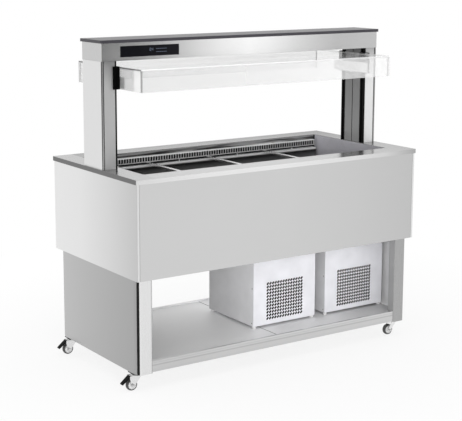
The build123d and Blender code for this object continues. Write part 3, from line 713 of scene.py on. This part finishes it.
for side in SIDES:
    post_finishes = [post_aluminium, inner_post_painted_shade, post_front_painted_shade, black_rubber_and_painted_shadow]
    broken(side + "_post", post_finishes, on_post, POST_BREAK)
print("posts start", round(post_inner_x, 3), "from the middle")

# %% [markdown]
# The well's lower walls have painted shade and look almost black. Its polished ends carry a painted
# reflection, and the upright wall at the back carries long soft streaks of painted reflection, lighter
# towards its top edge. The streaks are a noise that is stretched along the wall and shifts the height at
# which a ramp is read.

# %% Well tank
STREAK_STRETCH = (5.0, 5.0, 120.0)
STREAK_SHIFT = 1.1
STREAK_TONES = [(0.0, 0.02), (0.50, 0.03), (0.68, 0.10), (0.86, 0.50)]
painted_reflection_wall = Finish("back wall painted reflection")
streaks = painted_reflection_wall.noise(stretch=STREAK_STRETCH)
streak_height = painted_reflection_wall.along("Z", ledge_z, worktop_z) + STREAK_SHIFT * (streaks - 0.5)
painted_reflection_wall.set(
    Base_Color=painted_reflection_wall.ramp(streak_height, STREAK_TONES),
    Roughness=0.2 + 0.1 * streaks,
    Metallic=0.6,
)


def on_tank(face):
    return 1 if faces(face, "X") else 2 * faces(face, "Y")


broken("well_tank", [well_painted_shade, end_wall_painted_reflection, painted_reflection_wall.material], on_tank)
print("tank floor", round(tank_low.z, 3))

# %% [markdown]
# The air grille's finish changes with height: the frame above its slots has a painted highlight, while the
# thin fins between the slots and the frame below them have painted shade. Under it run the ledges on which
# pans and bars rest, pale on top with a painted reflection, with an upright lip below.

# %% Air grille and pan rails
GRILLE_FRAME = 4.0 * MM
GRILLE_FADE = 0.04
LIP_REACH = 3.0 * MM
air_low, air_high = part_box("air_grille")
frame_share = GRILLE_FRAME / (air_high.z - air_low.z)
grille_shade_and_highlight = Finish("air grille steel")
grille_shade_and_highlight.set(
    Base_Color=grille_shade_and_highlight.ramp(grille_shade_and_highlight.along("Z", air_low.z, air_high.z), [
        (0.0, 0.50), (frame_share, 0.45), (frame_share + GRILLE_FADE, 0.40),
        (1 - GRILLE_FADE - frame_share, 0.40), (1 - frame_share, 0.95), (1.0, 0.95),
    ]),
    Roughness=0.25 + 0.1 * grille_shade_and_highlight.noise(60.0),
)


def on_lip(face):
    return faces(face, "Y") and face.center.z < ledge_z + LIP_REACH


broken("air_grille", [grille_shade_and_highlight.material])
broken("pan_rails", [ledge_painted_light, lip_shade_and_highlight], on_lip)
print("frame's share of the grille", round(frame_share, 3))

# %% [markdown]
# A clear sheet is readable by its narrow cut edges, which gather light or go dark. Each pane has one finish
# on its faces and two on its edges: painted shade on ends in the left half of the hood, a painted highlight
# elsewhere. The far end pane faces away from the lamps and is almost unseen.

# %% Panes of the hood
def pane(node, thin, near, far=None):
    def on_pane(face):
        if faces(face, thin):
            return 3 if far and face.center.x > middle_x else 0
        return 1 if faces(face, "X") and face.center.x < middle_x else 2

    finishes = [near, edge_acrylic_painted_shade, edge_acrylic_painted_highlight]
    broken(node, finishes + [far] if far else finishes, on_pane)


pane("hood_top_pane", "Z", thin_acrylic)
pane("hood_front_pane", "Y", front_acrylic_painted_reflection)
pane("hood_back_pane", "Y", thin_acrylic)
pane("hood_end_panes", "X", end_acrylic_painted_reflection, far_acrylic)
print("hood from", round(hood_low.x, 3), "to", round(hood_high.x, 3))

# %% [markdown]
# The panes are bonded along their meeting edges. A bonded seam shows through clear sheet as a thin line,
# with painted shade in the upright corners and at the near end and a painted highlight along the other top
# edges. Each seam is a slim three-sided fillet laid into the corner from inside.

# %% Bonded seams of the hood
SEAM = 3.5 * MM
SEAM_PAINTED_SHADE, SEAM_PAINTED_HIGHLIGHT = range(2)
pane_thick = hood_high.z - hood_low.z
inner_x = (hood_high.x - hood_low.x) / 2 - pane_thick
inner_y = (hood_high.y - hood_low.y) / 2 - pane_thick
hood_floor_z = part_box("hood_front_pane")[0].z
down = Vector((0, 0, -1))
seam_shape = bmesh.new()


def seam(corner, run, first, second, look):
    ring = [corner, corner + first * SEAM, corner + second * SEAM]
    near = [seam_shape.verts.new(point) for point in ring]
    far = [seam_shape.verts.new(point + run) for point in ring]
    made = [seam_shape.faces.new(near), seam_shape.faces.new(far)]
    for here in range(3):
        following = (here + 1) % 3
        made.append(seam_shape.faces.new((near[here], near[following], far[following], far[here])))
    for face in made:
        face.material_index = look


for side_x in (-1, 1):
    inwards = Vector((-side_x, 0, 0))
    for side_y in (-1, 1):
        foot = Vector((middle_x + side_x * inner_x, side_y * inner_y, hood_floor_z))
        upright = Vector((0, 0, hood_low.z - hood_floor_z))
        seam(foot, upright, inwards, Vector((0, -side_y, 0)), SEAM_PAINTED_SHADE)
    start = Vector((middle_x + side_x * inner_x, -inner_y, hood_low.z))
    seam(start, Vector((0, 2 * inner_y, 0)), inwards, down, SEAM_PAINTED_SHADE if side_x < 0 else SEAM_PAINTED_HIGHLIGHT)
for side_y in (-1, 1):
    start = Vector((middle_x - inner_x, side_y * inner_y, hood_low.z))
    seam(start, Vector((2 * inner_x, 0, 0)), Vector((0, -side_y, 0)), down, SEAM_PAINTED_HIGHLIGHT)
bmesh.ops.recalc_face_normals(seam_shape, faces=seam_shape.faces)
seam_mesh = mesh_from("hood seams", seam_shape)
add("hood_seams", seam_mesh, "hood_front_pane", edge_acrylic_painted_shade, edge_acrylic_painted_highlight)
print("seam faces", len(seam_mesh.polygons))

# %% [markdown]
# What repeats is grown by Geometry Nodes. A Pattern holds one tree: its named inputs become sockets, and
# grow runs the tree once, keeps the result as a plain mesh and drops the modifier.

# %% Helper for patterns that repeat
class Pattern(Tree):
    family = "GeometryNode"

    def __init__(self, name, **kinds):
        self.tree = bpy.data.node_groups.new(name, "GeometryNodeTree")
        sockets = self.tree.interface
        sockets.new_socket("Geometry", in_out="OUTPUT", socket_type="NodeSocketGeometry")
        self.keys = {}
        for label, kind in kinds.items():
            made = sockets.new_socket(label, in_out="INPUT", socket_type="NodeSocket" + kind)
            self.keys[label] = made.identifier
        self.entry = self.tree.nodes.new("NodeGroupInput")
        self.exit = self.tree.nodes.new("NodeGroupOutput")

    def __getitem__(self, label):
        return Wire(self, self.entry.outputs[label])

    def join(self, *shapes):
        made = self.node("JoinGeometry")
        for shape in shapes:
            self.feed(made.socket.node.inputs[0], shape)
        return made

    def close(self, shape):
        plain = self.node("RealizeInstances", None, {"Geometry": shape})
        painted = self.node("SetMaterial", None, {"Geometry": plain, "Material": self["Finish"]})
        self.feed(self.exit.inputs[0], painted)

    def grow(self, points=((0, 0, 0),), **values):
        seed = bpy.data.meshes.new("seed")
        seed.from_pydata(points, [], [])
        host = bpy.data.objects.new("host", seed)
        bpy.context.scene.collection.objects.link(host)
        run = host.modifiers.new("pattern", "NODES")
        run.node_group = self.tree
        for label, value in values.items():
            run[self.keys[label]] = value
        view = bpy.context.evaluated_depsgraph_get()
        mesh = bpy.data.meshes.new_from_object(host.evaluated_get(view))
        host.modifiers.remove(run)
        bpy.data.objects.remove(host)
        return mesh


# %% [markdown]
# Each cooling unit has a perforated front: 14 columns and 12 rows of slots that lean at 45 degrees. A
# boolean cut for every slot would be slow and ragged, so the tree draws the sheet's outline and all the
# slot outlines as flat curves, fills them in one go, which leaves the slots open, and gives the filled
# sheet its thickness.

# %% Tree of a perforated sheet
SLOT_LEAN = math.radians(45)
SLOT_END_SHARE = 0.49
SLOT_END_STEPS = 3
sheet = Pattern(
    "perforated sheet", Width="Float", Height="Float", Columns="Int", Rows="Int", Pitch="Float",
    Length="Float", Slot="Float", Rise="Float", Thickness="Float", Place="Vector", Finish="Material",
)


def oblong(width, height):
    return sheet.node("CurvePrimitiveQuadrilateral", None, {"Width": sheet[width], "Height": sheet[height]})


rounded = sheet.node("FilletCurve", {"mode": "POLY"}, {
    "Curve": oblong("Length", "Slot"), "Radius": SLOT_END_SHARE * sheet["Slot"], "Count": SLOT_END_STEPS,
})
leaning = sheet.node("Transform", None, {"Geometry": rounded, "Rotation": (0, 0, SLOT_LEAN)})
field_width = sheet["Pitch"] * (sheet["Columns"] - 1)
field_height = sheet["Pitch"] * (sheet["Rows"] - 1)
spots = sheet.node("MeshGrid", None, {
    "Size X": field_width, "Size Y": field_height,
    "Vertices X": sheet["Columns"], "Vertices Y": sheet["Rows"],
})
copies = sheet.node("InstanceOnPoints", None, {"Points": spots, "Instance": leaning})
slots = sheet.node("RealizeInstances", None, {"Geometry": copies})
lift = sheet["Rise"] + 0.5 * (field_height + sheet["Length"] - sheet["Height"])
raised = sheet.node("Transform", None, {
    "Geometry": slots, "Translation": sheet.node("CombineXYZ", None, {"Y": lift}),
})
filled = sheet.node("FillCurve", None, {"Curve": sheet.join(oblong("Width", "Height"), raised)})
front = sheet.node("ExtrudeMesh", None, {
    "Mesh": filled, "Offset Scale": sheet["Thickness"], "Individual": False,
})
back = sheet.node("FlipFaces", None, {"Mesh": filled})
shell = sheet.node("MergeByDistance", None, {"Geometry": sheet.join(front, back), "Distance": MERGE_REACH})
sheet.close(sheet.node("Transform", None, {
    "Geometry": shell, "Rotation": (math.radians(90), 0, 0), "Translation": sheet["Place"],
}))
print("nodes in the sheet's tree", len(sheet.tree.nodes))

# %% [markdown]
# The tree runs once for each unit, with the size of its own front. The slots' inner walls are black enamel,
# painted shade that keeps the holes dark from every side.

# %% Perforated fronts of the units
SLOT_COLUMNS = 14
SLOT_ROWS = 12
SLOT_PITCH = 14.8 * MM
SLOT_LENGTH = 15.4 * MM
SLOT_WIDTH = 9.3 * MM
FIELD_RISE = 20.0 * MM
SHEET_RIM = 1.0 * MM
for side in SIDES:
    node = side + "_unit_grille"
    low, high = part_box(node)
    mesh = sheet.grow(
        Width=high.x - low.x, Height=high.z - low.z, Columns=SLOT_COLUMNS, Rows=SLOT_ROWS, Pitch=SLOT_PITCH,
        Length=SLOT_LENGTH, Slot=SLOT_WIDTH, Rise=FIELD_RISE, Thickness=high.y - low.y,
        Place=((low.x + high.x) / 2, high.y, (low.z + high.z) / 2), Finish=white_enamel,
    )
    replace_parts(add(node + "_sheet", mesh, node, white_enamel, black_enamel_and_painted_shade), node)
    slot_wall_painted_shade = mesh.materials.find(black_enamel_and_painted_shade.name)
    for face in mesh.polygons:
        inside_x = low.x + SHEET_RIM < face.center.x < high.x - SHEET_RIM
        inside_z = low.z + SHEET_RIM < face.center.z < high.z - SHEET_RIM
        if inside_x and inside_z and not faces(face, "Y"):
            face.material_index = slot_wall_painted_shade
    print(node, "faces", len(mesh.polygons))

# %% [markdown]
# Fins and ribs are both rows of equal bars, so one tree serves them: a line of points with one bar on each.
# The heat exchangers get thin fins here, and the brake pedals get grip ribs further on.

# %% Rows of bars
row = Pattern(
    "row of bars", Count="Int", Start="Vector", Step="Vector", Size="Vector", Turn="Vector", Finish="Material"
)
line = row.node("MeshLine", None, {
    "Count": row["Count"], "Start Location": row["Start"], "Offset": row["Step"],
})
bar = row.node("MeshCube", None, {"Size": row["Size"]})
turned = row.node("Transform", None, {"Geometry": bar, "Rotation": row["Turn"]})
row.close(row.node("InstanceOnPoints", None, {"Points": line, "Instance": turned}))
print("nodes in the row's tree", len(row.tree.nodes))

# %% [markdown]
# A heat exchanger is a pack of thin sheets on tubes. As many fins are set as the block's length takes at
# the fins' pitch, a little inside the block's own faces.

# %% Fins of the heat exchangers
FIN_PITCH = 4.0 * MM
FIN_THICKNESS = 0.5 * MM
FIN_INSIDE = 1.0 * MM
FIN_MARGIN = 2.0 * MM
CONDENSER_HALF = 113.0 * MM


def fin_pack(name, node, left, right, finish):
    low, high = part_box(node)
    count = int((right - left) / FIN_PITCH)
    first_x = (left + right - (count - 1) * FIN_PITCH) / 2
    mesh = row.grow(
        Count=count, Start=(first_x, (low.y + high.y) / 2, (low.z + high.z) / 2), Step=(FIN_PITCH, 0, 0),
        Size=(FIN_THICKNESS, high.y - low.y - FIN_INSIDE, high.z - low.z - FIN_INSIDE),
        Turn=(0, 0, 0), Finish=finish,
    )
    add(name, mesh, node, finish)
    print(name, "fins", count)


# The condensers are black: a real dark coating that also stands in as painted shade inside the housings.
for side in SIDES:
    grille_low, grille_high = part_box(side + "_unit_grille")
    unit_x = (grille_low.x + grille_high.x) / 2
    reach = (unit_x - CONDENSER_HALF, unit_x + CONDENSER_HALF)
    fin_pack(side + "_condenser_fins", "condensers", *reach, black_enamel_and_painted_shade)
coil_low, coil_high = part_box("evaporator")
fin_pack("evaporator_fins", "evaporator", coil_low.x + FIN_MARGIN, coil_high.x - FIN_MARGIN, fin_aluminium)
# Black condenser core: a dark coating and painted shade behind the slots.
broken("condensers", [black_enamel_and_painted_shade])
broken("evaporator", [fin_aluminium])
broken("insulation", [foam_finish])

# %% [markdown]
# Screw heads repeat too: a low cone with a cross on top, set on every point of a small mesh of points and
# turned to face out of its wall. Cone and cross follow the screw's radius and rise, so one tree makes both
# screws and bolts.

# %% Tree of the screw heads
CONE_SIDES = 16
CONE_TAPER = 0.65
CROSS_LONG = 0.9
CROSS_WIDE = 0.2
CROSS_TALL = 0.2
screws = Pattern(
    "screw heads", Points="Geometry", Radius="Float", Rise="Float", Facing="Vector", Finish="Material"
)
cone = screws.node("MeshCone", None, {
    "Vertices": CONE_SIDES, "Radius Top": CONE_TAPER * screws["Radius"], "Radius Bottom": screws["Radius"],
    "Depth": screws["Rise"],
})
arm_size = screws.node("CombineXYZ", None, {
    "X": CROSS_LONG * screws["Radius"], "Y": CROSS_WIDE * screws["Radius"], "Z": CROSS_TALL * screws["Rise"],
})
arm = screws.node("MeshCube", None, {"Size": arm_size})
arm_lift = screws.node("CombineXYZ", None, {"Z": screws["Rise"]})
first_arm = screws.node("Transform", None, {"Geometry": arm, "Translation": arm_lift})
second_arm = screws.node("Transform", None, {
    "Geometry": arm, "Translation": arm_lift, "Rotation": (0, 0, math.radians(90)),
})
screws.close(screws.node("InstanceOnPoints", None, {
    "Points": screws["Points"], "Instance": screws.join(cone, first_arm, second_arm),
    "Rotation": screws["Facing"],
}))
print("nodes in the screws' tree", len(screws.tree.nodes))

# %% [markdown]
# The screws hold the unit fronts at their sides and the back of each housing, three to an edge: near the
# foot, at mid height and near the top.

# %% Screws of the units
SCREW_RADIUS = 4.0 * MM
SCREW_RISE = 2.2 * MM
SCREW_INSET = 9.0 * MM
SCREW_END = 14.0 * MM
SCREW_MIDDLE = 175.0 * MM
FACING = {
    "left": (0, math.radians(-90), 0),
    "right": (0, math.radians(90), 0),
    "back": (math.radians(-90), 0, 0),
    "down": (math.radians(180), 0, 0),
}


def screw_row(name, node, points, facing, radius=SCREW_RADIUS):
    mesh = screws.grow(points, Radius=radius, Rise=SCREW_RISE, Facing=FACING[facing], Finish=screw_steel)
    add(name, mesh, node, screw_steel)
    print(name, len(points))


for side in SIDES:
    node = side + "_unit_housing"
    low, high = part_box(node)
    heights = (unit_floor_z + SCREW_END, unit_floor_z + SCREW_MIDDLE, high.z - SCREW_END)
    for facing, x in (("left", low.x), ("right", high.x)):
        points = [(x, low.y + SCREW_INSET, z) for z in heights]
        screw_row(f"{side}_unit_screws_{facing}", node, points, facing)
    columns = (low.x + SCREW_INSET, high.x - SCREW_INSET)
    screw_row(f"{side}_unit_screws_back", node, [(x, high.y, z) for x in columns for z in heights], "back")

# %% [markdown]
# Four bolts hold each castor plate under the carcass. They stand in a square about the swivel, which lies
# one trail's length from the wheel's own middle.

# %% Bolts of the castor plates
CORNERS = ("front_left", "front_right", "back_left", "back_right")
BOLT_OUT = 22.0 * MM
BOLT_RADIUS = 4.5 * MM
TRAIL = 30.0 * MM
bolt_points = []
for corner in CORNERS:
    low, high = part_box("castor_wheel_" + corner)
    swivel = Vector(((low.x + high.x) / 2 + TRAIL, (low.y + high.y) / 2, castor_plate_z))
    for x in (-BOLT_OUT, BOLT_OUT):
        for y in (-BOLT_OUT, BOLT_OUT):
            bolt_points.append(swivel + Vector((x, y, 0)))
screw_row("castor_bolts", "castor_plates", bolt_points, "down", BOLT_RADIUS)

# %% [markdown]
# A castor wheel and its axle nuts are turned pieces. The lathe helper sweeps closed sections, given as
# pairs of radius and place along the axle, round the axle, each with a finish of its own.

# %% Lathe for round pieces
def lathe(sections, centre, steps):
    shape = bmesh.new()
    for index, section in enumerate(sections):
        rings = []
        for step in range(steps):
            angle = 2 * math.pi * step / steps
            spoke = Vector((math.cos(angle), 0, math.sin(angle)))
            points = [centre + radius * spoke + Vector((0, y, 0)) for radius, y in section]
            rings.append([shape.verts.new(point) for point in points])
        for step in range(steps):
            one, two = rings[step], rings[(step + 1) % steps]
            for here in range(len(section)):
                following = (here + 1) % len(section)
                face = shape.faces.new((one[here], one[following], two[following], two[here]))
                face.material_index = index
    bmesh.ops.recalc_face_normals(shape, faces=shape.faces)
    return mesh_from("turned", shape)


# %% [markdown]
# The wheel is a rounded tyre of dark rubber on a pale centre with a dished face and a raised hub, drawn in
# shares of the wheel's radius and half width. The axle ends in a six-sided nut on each side of the fork,
# swept with only six steps and drawn in millimetres.

# %% Castor wheels and axle nuts
WHEEL_STEPS = 48
WHEEL_BREAK = 0.4 * MM
TYRE_HALF = 10.0 * MM
TYRE_FOOT = (0.74, 0.90)
TREAD_CROWN = 0.14
TREAD_WIDE = 0.96
TREAD_ARC = [(math.cos(math.radians(turn)), math.sin(math.radians(turn))) for turn in range(-75, 76, 15)]
AXLE_BORE = 4.05 * MM
HUB_OVER = 2.0 * MM
HUB_SHARE = 0.30
DISH = [(0.36, 0.72), (0.62, 0.66), (0.70, 0.94), (0.74, 0.94)]
NUT_STEPS = 6
NUT = [(0.2, -1.5), (5.6, -1.5), (6.8, -0.5), (6.8, 2.0), (0.2, 2.0)]


def wheel_sections(radius, half):
    crown = radius * TREAD_CROWN
    tread = [(radius - crown + crown * out, half * TREAD_WIDE * across) for out, across in TREAD_ARC]
    foot, edge = radius * TYRE_FOOT[0], half * TYRE_FOOT[1]
    hub = [(AXLE_BORE, half + HUB_OVER), (radius * HUB_SHARE, half + HUB_OVER)]
    face = hub + [(radius * out, half * across) for out, across in DISH]
    return [[(foot, -edge)] + tread + [(foot, edge)], face + [(out, -y) for out, y in reversed(face)]]


def nut_section(y, way):
    return [(out * MM, y + way * deep * MM) for out, deep in NUT]


for corner in CORNERS:
    wheel = "castor_wheel_" + corner
    low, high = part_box(wheel)
    centre = (low + high) / 2
    wheel_mesh = lathe(wheel_sections((high.z - low.z) / 2, TYRE_HALF), centre, WHEEL_STEPS)
    piece = add(wheel + "_turned", wheel_mesh, wheel, tyre_rubber, hub_plastic)
    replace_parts(piece, wheel)
    soften(piece, WHEEL_BREAK)
    fork = "castor_fork_" + corner
    low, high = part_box(fork)
    nuts = [nut_section(low.y - centre.y, 1), nut_section(high.y - centre.y, -1)]
    nut_mesh = lathe(nuts, centre, NUT_STEPS)
    for face in nut_mesh.polygons:
        face.material_index = 0
    add("castor_nuts_" + corner, nut_mesh, fork, screw_steel)
print("wheel faces", len(wheel_mesh.polygons), "nut faces", len(nut_mesh.polygons))

# %% [markdown]
# The brake pedals need grip, so each gets a row of ribs across its slope. The pedal falls 26 mm over a run
# of 39 mm, and the ribs follow that slope up from the tip. The row of bars made for the fins serves again.

# %% Pedal ribs
PEDAL_FALL = 26.0 * MM
PEDAL_RUN = 39.0 * MM
RIB_COUNT = 4
RIB_PITCH = 5.5 * MM
RIB_THICK = 1.6 * MM
RIB_SHORT = 3.0 * MM
RIB_FROM_TIP = 5.0 * MM
RIB_FROM_FOOT = 7.3 * MM
slope = math.atan2(PEDAL_FALL, PEDAL_RUN)
for corner in ("front_left", "back_left"):
    node = "brake_pedal_" + corner
    low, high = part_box(node)
    mesh = row.grow(
        Count=RIB_COUNT, Start=(low.x + RIB_FROM_TIP, (low.y + high.y) / 2, low.z + RIB_FROM_FOOT),
        Step=(RIB_PITCH, 0, RIB_PITCH * math.tan(slope)),
        Size=(RIB_THICK, high.y - low.y - RIB_SHORT, RIB_THICK), Turn=(0, -slope, 0), Finish=black_plastic,
    )
    add(node + "_ribs", mesh, node, black_plastic)
print("pedal slope", round(math.degrees(slope), 1))

# %% [markdown]
# The control panel is black glass with a reading and small lights behind it. Their finish is a cool grey
# that shines very softly.

# %% Control panel light
panel_light = Finish("soft panel light")
panel_light.set(
    Base_Color=panel_light.mix(panel_light.noise(300.0), (0.08, 0.10, 0.15, 1), (0.11, 0.13, 0.18, 1)),
    Roughness=0.4,
    Emission_Color=(0.55, 0.65, 0.85, 1),
    Emission_Strength=0.06,
)
print("panel light", panel_light.material.name)

# %% [markdown]
# The reading has two plain digits of seven bars each, and the lights stand in two rows. All are thin boxes
# just proud of the glass. A bar's place in its digit is counted in half widths and quarter heights.

# %% Control panel marks
BAR_PLACE = {"a": (0, 2), "b": (1, 1), "c": (1, -1), "d": (0, -2), "e": (-1, -1), "f": (-1, 1), "g": (0, 0)}
BARS_OF = {"0": "abcdef", "4": "bcfg"}
DIGIT_WIDE = 5.0 * MM
DIGIT_TALL = 11.0 * MM
DIGIT_PITCH = 10.0 * MM
DIGIT_LIFT = 5.0 * MM
BAR_WIDE = 1.4 * MM
MARK_DEEP = 0.3 * MM
LIGHT_SIZE = (5.0 * MM, 2.2 * MM)
LIGHT_PITCH = 9.0 * MM
LIGHT_START = 32.0 * MM
LIGHT_LIFTS = (7.0 * MM, -6.0 * MM)
LIGHT_COUNT = 6
glass_low, glass_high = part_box("control_panel")
mark_shape = bmesh.new()


def mark(x, z, wide, tall):
    middle = ((glass_low.x + glass_high.x) / 2 + x, glass_low.y, (glass_low.z + glass_high.z) / 2 + z)
    add_box(mark_shape, (wide, MARK_DEEP, tall), middle)


for index, sign in enumerate("04"):
    for name in BARS_OF[sign]:
        across, up = BAR_PLACE[name]
        size = (BAR_WIDE, DIGIT_TALL / 2) if across else (DIGIT_WIDE, BAR_WIDE)
        mark(index * DIGIT_PITCH + across * DIGIT_WIDE / 2, DIGIT_LIFT + up * DIGIT_TALL / 4, *size)
for rise in LIGHT_LIFTS:
    for index in range(LIGHT_COUNT):
        mark(LIGHT_START + index * LIGHT_PITCH, rise, *LIGHT_SIZE)
mark_mesh = mesh_from("control marks", mark_shape)
add("control_panel_marks", mark_mesh, "control_panel", panel_light.material)
print("mark faces", len(mark_mesh.polygons))

# %% [markdown]
# The studio is a white sweep. Camera, mirror and glass rays all see the world as white, while the light
# that it throws on the object is weaker and even. The floor needs the same test of rays further on.

# %% White studio
AMBIENT = 0.62


def seen(finish):
    kinds = ("Camera", "Glossy", "Transmission")
    camera_ray, mirror_ray, glass_ray = (finish.node("LightPath", out=f"Is {kind} Ray") for kind in kinds)
    return camera_ray.maths("MAXIMUM", camera_ray, mirror_ray.maths("MAXIMUM", mirror_ray, glass_ray))


sky = Finish("white studio", bpy.data.worlds, "Background")
sky.set(Color=grey(1.0), Strength=AMBIENT + (1 - AMBIENT) * seen(sky))
bpy.context.scene.world = sky.material
print("ambient", AMBIENT)

# %% [markdown]
# Large soft lamps shape the object: one overhead, two in front, and a low one behind that lights the shelf
# through the open back. Mirror rays don't see them, so no glossy panel shows a burnt-out patch.

# %% Softboxes
SOFTBOXES = [
    ("overhead softbox", (-0.5, -1.5, 4.2), (0, 0, 0.7), (4.0, 3.0), 45),
    ("low front softbox", (-2.4, -4.4, 0.8), (0.3, 0, 0.3), (2.6, 1.4), 60),
    ("front softbox", (-2.4, -4.8, 2.1), (0, 0, 1.0), (3.0, 1.2), 55),
    ("low back softbox", (-0.7, 3.2, 0.62), (-0.2, 0, 0.3), (2.0, 0.4), 38),
]


def aim(thing, place, target):
    thing.location = place
    thing.rotation_euler = (Vector(target) - Vector(place)).to_track_quat("-Z", "Y").to_euler()
    bpy.context.scene.collection.objects.link(thing)


for name, place, target, size, watts in SOFTBOXES:
    lamp_data = bpy.data.lights.new(name, "AREA")
    lamp_data.shape = "RECTANGLE"
    lamp_data.size, lamp_data.size_y = size
    lamp_data.energy = watts
    lamp = bpy.data.objects.new(name, lamp_data)
    lamp.visible_glossy = False
    aim(lamp, place, target)
print("lamps", len(SOFTBOXES))

# %% [markdown]
# Bright metal looks like whatever stands round it. Photographers stand a graded card beside the camera for
# that: dark at one side, brightest past its middle. The canopy's brushed front mirrors it as a slow change
# from dark to light. Only mirror rays see the card, so it throws no shadow and no light.

# %% Graded card that the metal reflects
CARD_WIDE = 5.0
CARD_TALL = 4.0
CARD_FOOT = 0.85
CARD_X = 2.1
CARD_Y = -4.1
CARD_PEAK = 1.9
CARD_TONES = [
    (0.0, 0.03), (0.37, 0.03), (0.46, 0.20), (0.514, 0.45), (0.61, 0.85), (0.666, 1.0), (0.72, 0.85),
    (0.774, 0.60), (0.84, 0.42), (1.0, 0.44),
]


def flat_sheet(name, wide, tall, finish):
    mesh = bpy.data.meshes.new(name)
    corners = [(-wide, -tall, 0), (wide, -tall, 0), (wide, tall, 0), (-wide, tall, 0)]
    mesh.from_pydata([(x / 2, y / 2, z) for x, y, z in corners], [], [(0, 1, 2, 3)])
    mesh.materials.append(finish.material)
    return bpy.data.objects.new(name, mesh)


card_finish = Finish("graded card")
card_tone = card_finish.ramp(card_finish.along("X", -CARD_WIDE / 2, CARD_WIDE / 2), CARD_TONES)
card_finish.surface(card_finish.node("Emission", None, {"Color": card_tone, "Strength": CARD_PEAK}))
card = flat_sheet("graded card", CARD_WIDE, CARD_TALL, card_finish)
for ray in ("camera", "diffuse", "transmission", "volume_scatter", "shadow"):
    setattr(card, "visible_" + ray, False)
card_z = CARD_FOOT + CARD_TALL / 2
aim(card, (CARD_X, CARD_Y, card_z), (CARD_X, 0, card_z))
print("card middle at", round(card_z, 2))

# %% [markdown]
# The floor is a plain pale sheet. Close to the counter it keeps the shadow, and with distance it fades into
# pure white, which is the sweep behind the counter in the photograph.

# %% Floor
FLOOR_WIDE = 80.0
SHADOW_SHARE = 0.25
SHADOW_REACH = 2.2
floor_finish = Finish("pale studio floor")
floor_finish.set(Base_Color=grey(0.92), Roughness=0.9)
white = floor_finish.node("Emission", None, {"Color": grey(1.0), "Strength": 1.0})
distance = floor_finish.node("VectorMath", {"operation": "LENGTH"}, {0: floor_finish.place()}, out="Value")
near = distance.maths("MAXIMUM", 1 - distance / SHADOW_REACH, 0.0)
white_share = (1 - SHADOW_SHARE * near) * seen(floor_finish)
lit = Wire(floor_finish, floor_finish.shader.outputs[0])
floor_finish.surface(floor_finish.node("MixShader", None, {0: white_share, 1: lit, 2: white}))
floor = flat_sheet("floor", FLOOR_WIDE, FLOOR_WIDE, floor_finish)
bpy.context.scene.collection.objects.link(floor)
print("floor", FLOOR_WIDE)

# %% [markdown]
# The camera was worked out from the corners of the worktop, body and canopy in the photograph. Its focal
# length and the point that it looks straight at are in the photograph's pixels, so lens and shift follow
# from them.

# %% Camera
IMAGE_WIDTH = 462
IMAGE_HEIGHT = 421
FOCAL_PIXELS = 1233.82
CENTRE_PIXEL = (205.18, 169.43)
LEFT_OF_MIDDLE = 3.17846
BEFORE_MIDDLE = 4.55151
EYE_HEIGHT = 1.77676
LOOKS_DOWN = 9.77
LOOKS_RIGHT = 33.4
camera_data = bpy.data.cameras.new("photo camera")
camera_data.sensor_fit = "HORIZONTAL"
camera_data.lens = FOCAL_PIXELS / IMAGE_WIDTH * camera_data.sensor_width
camera_data.shift_x = (IMAGE_WIDTH / 2 - CENTRE_PIXEL[0]) / IMAGE_WIDTH
camera_data.shift_y = (CENTRE_PIXEL[1] - IMAGE_HEIGHT / 2) / IMAGE_WIDTH
camera = bpy.data.objects.new("photo camera", camera_data)
camera.location = (middle_x - LEFT_OF_MIDDLE, -BEFORE_MIDDLE, EYE_HEIGHT)
camera.rotation_euler = (math.radians(90 - LOOKS_DOWN), 0, math.radians(-LOOKS_RIGHT))
bpy.context.scene.collection.objects.link(camera)
bpy.context.scene.camera = camera
bpy.context.scene.view_settings.view_transform = "Standard"
print("lens", round(camera_data.lens, 2))
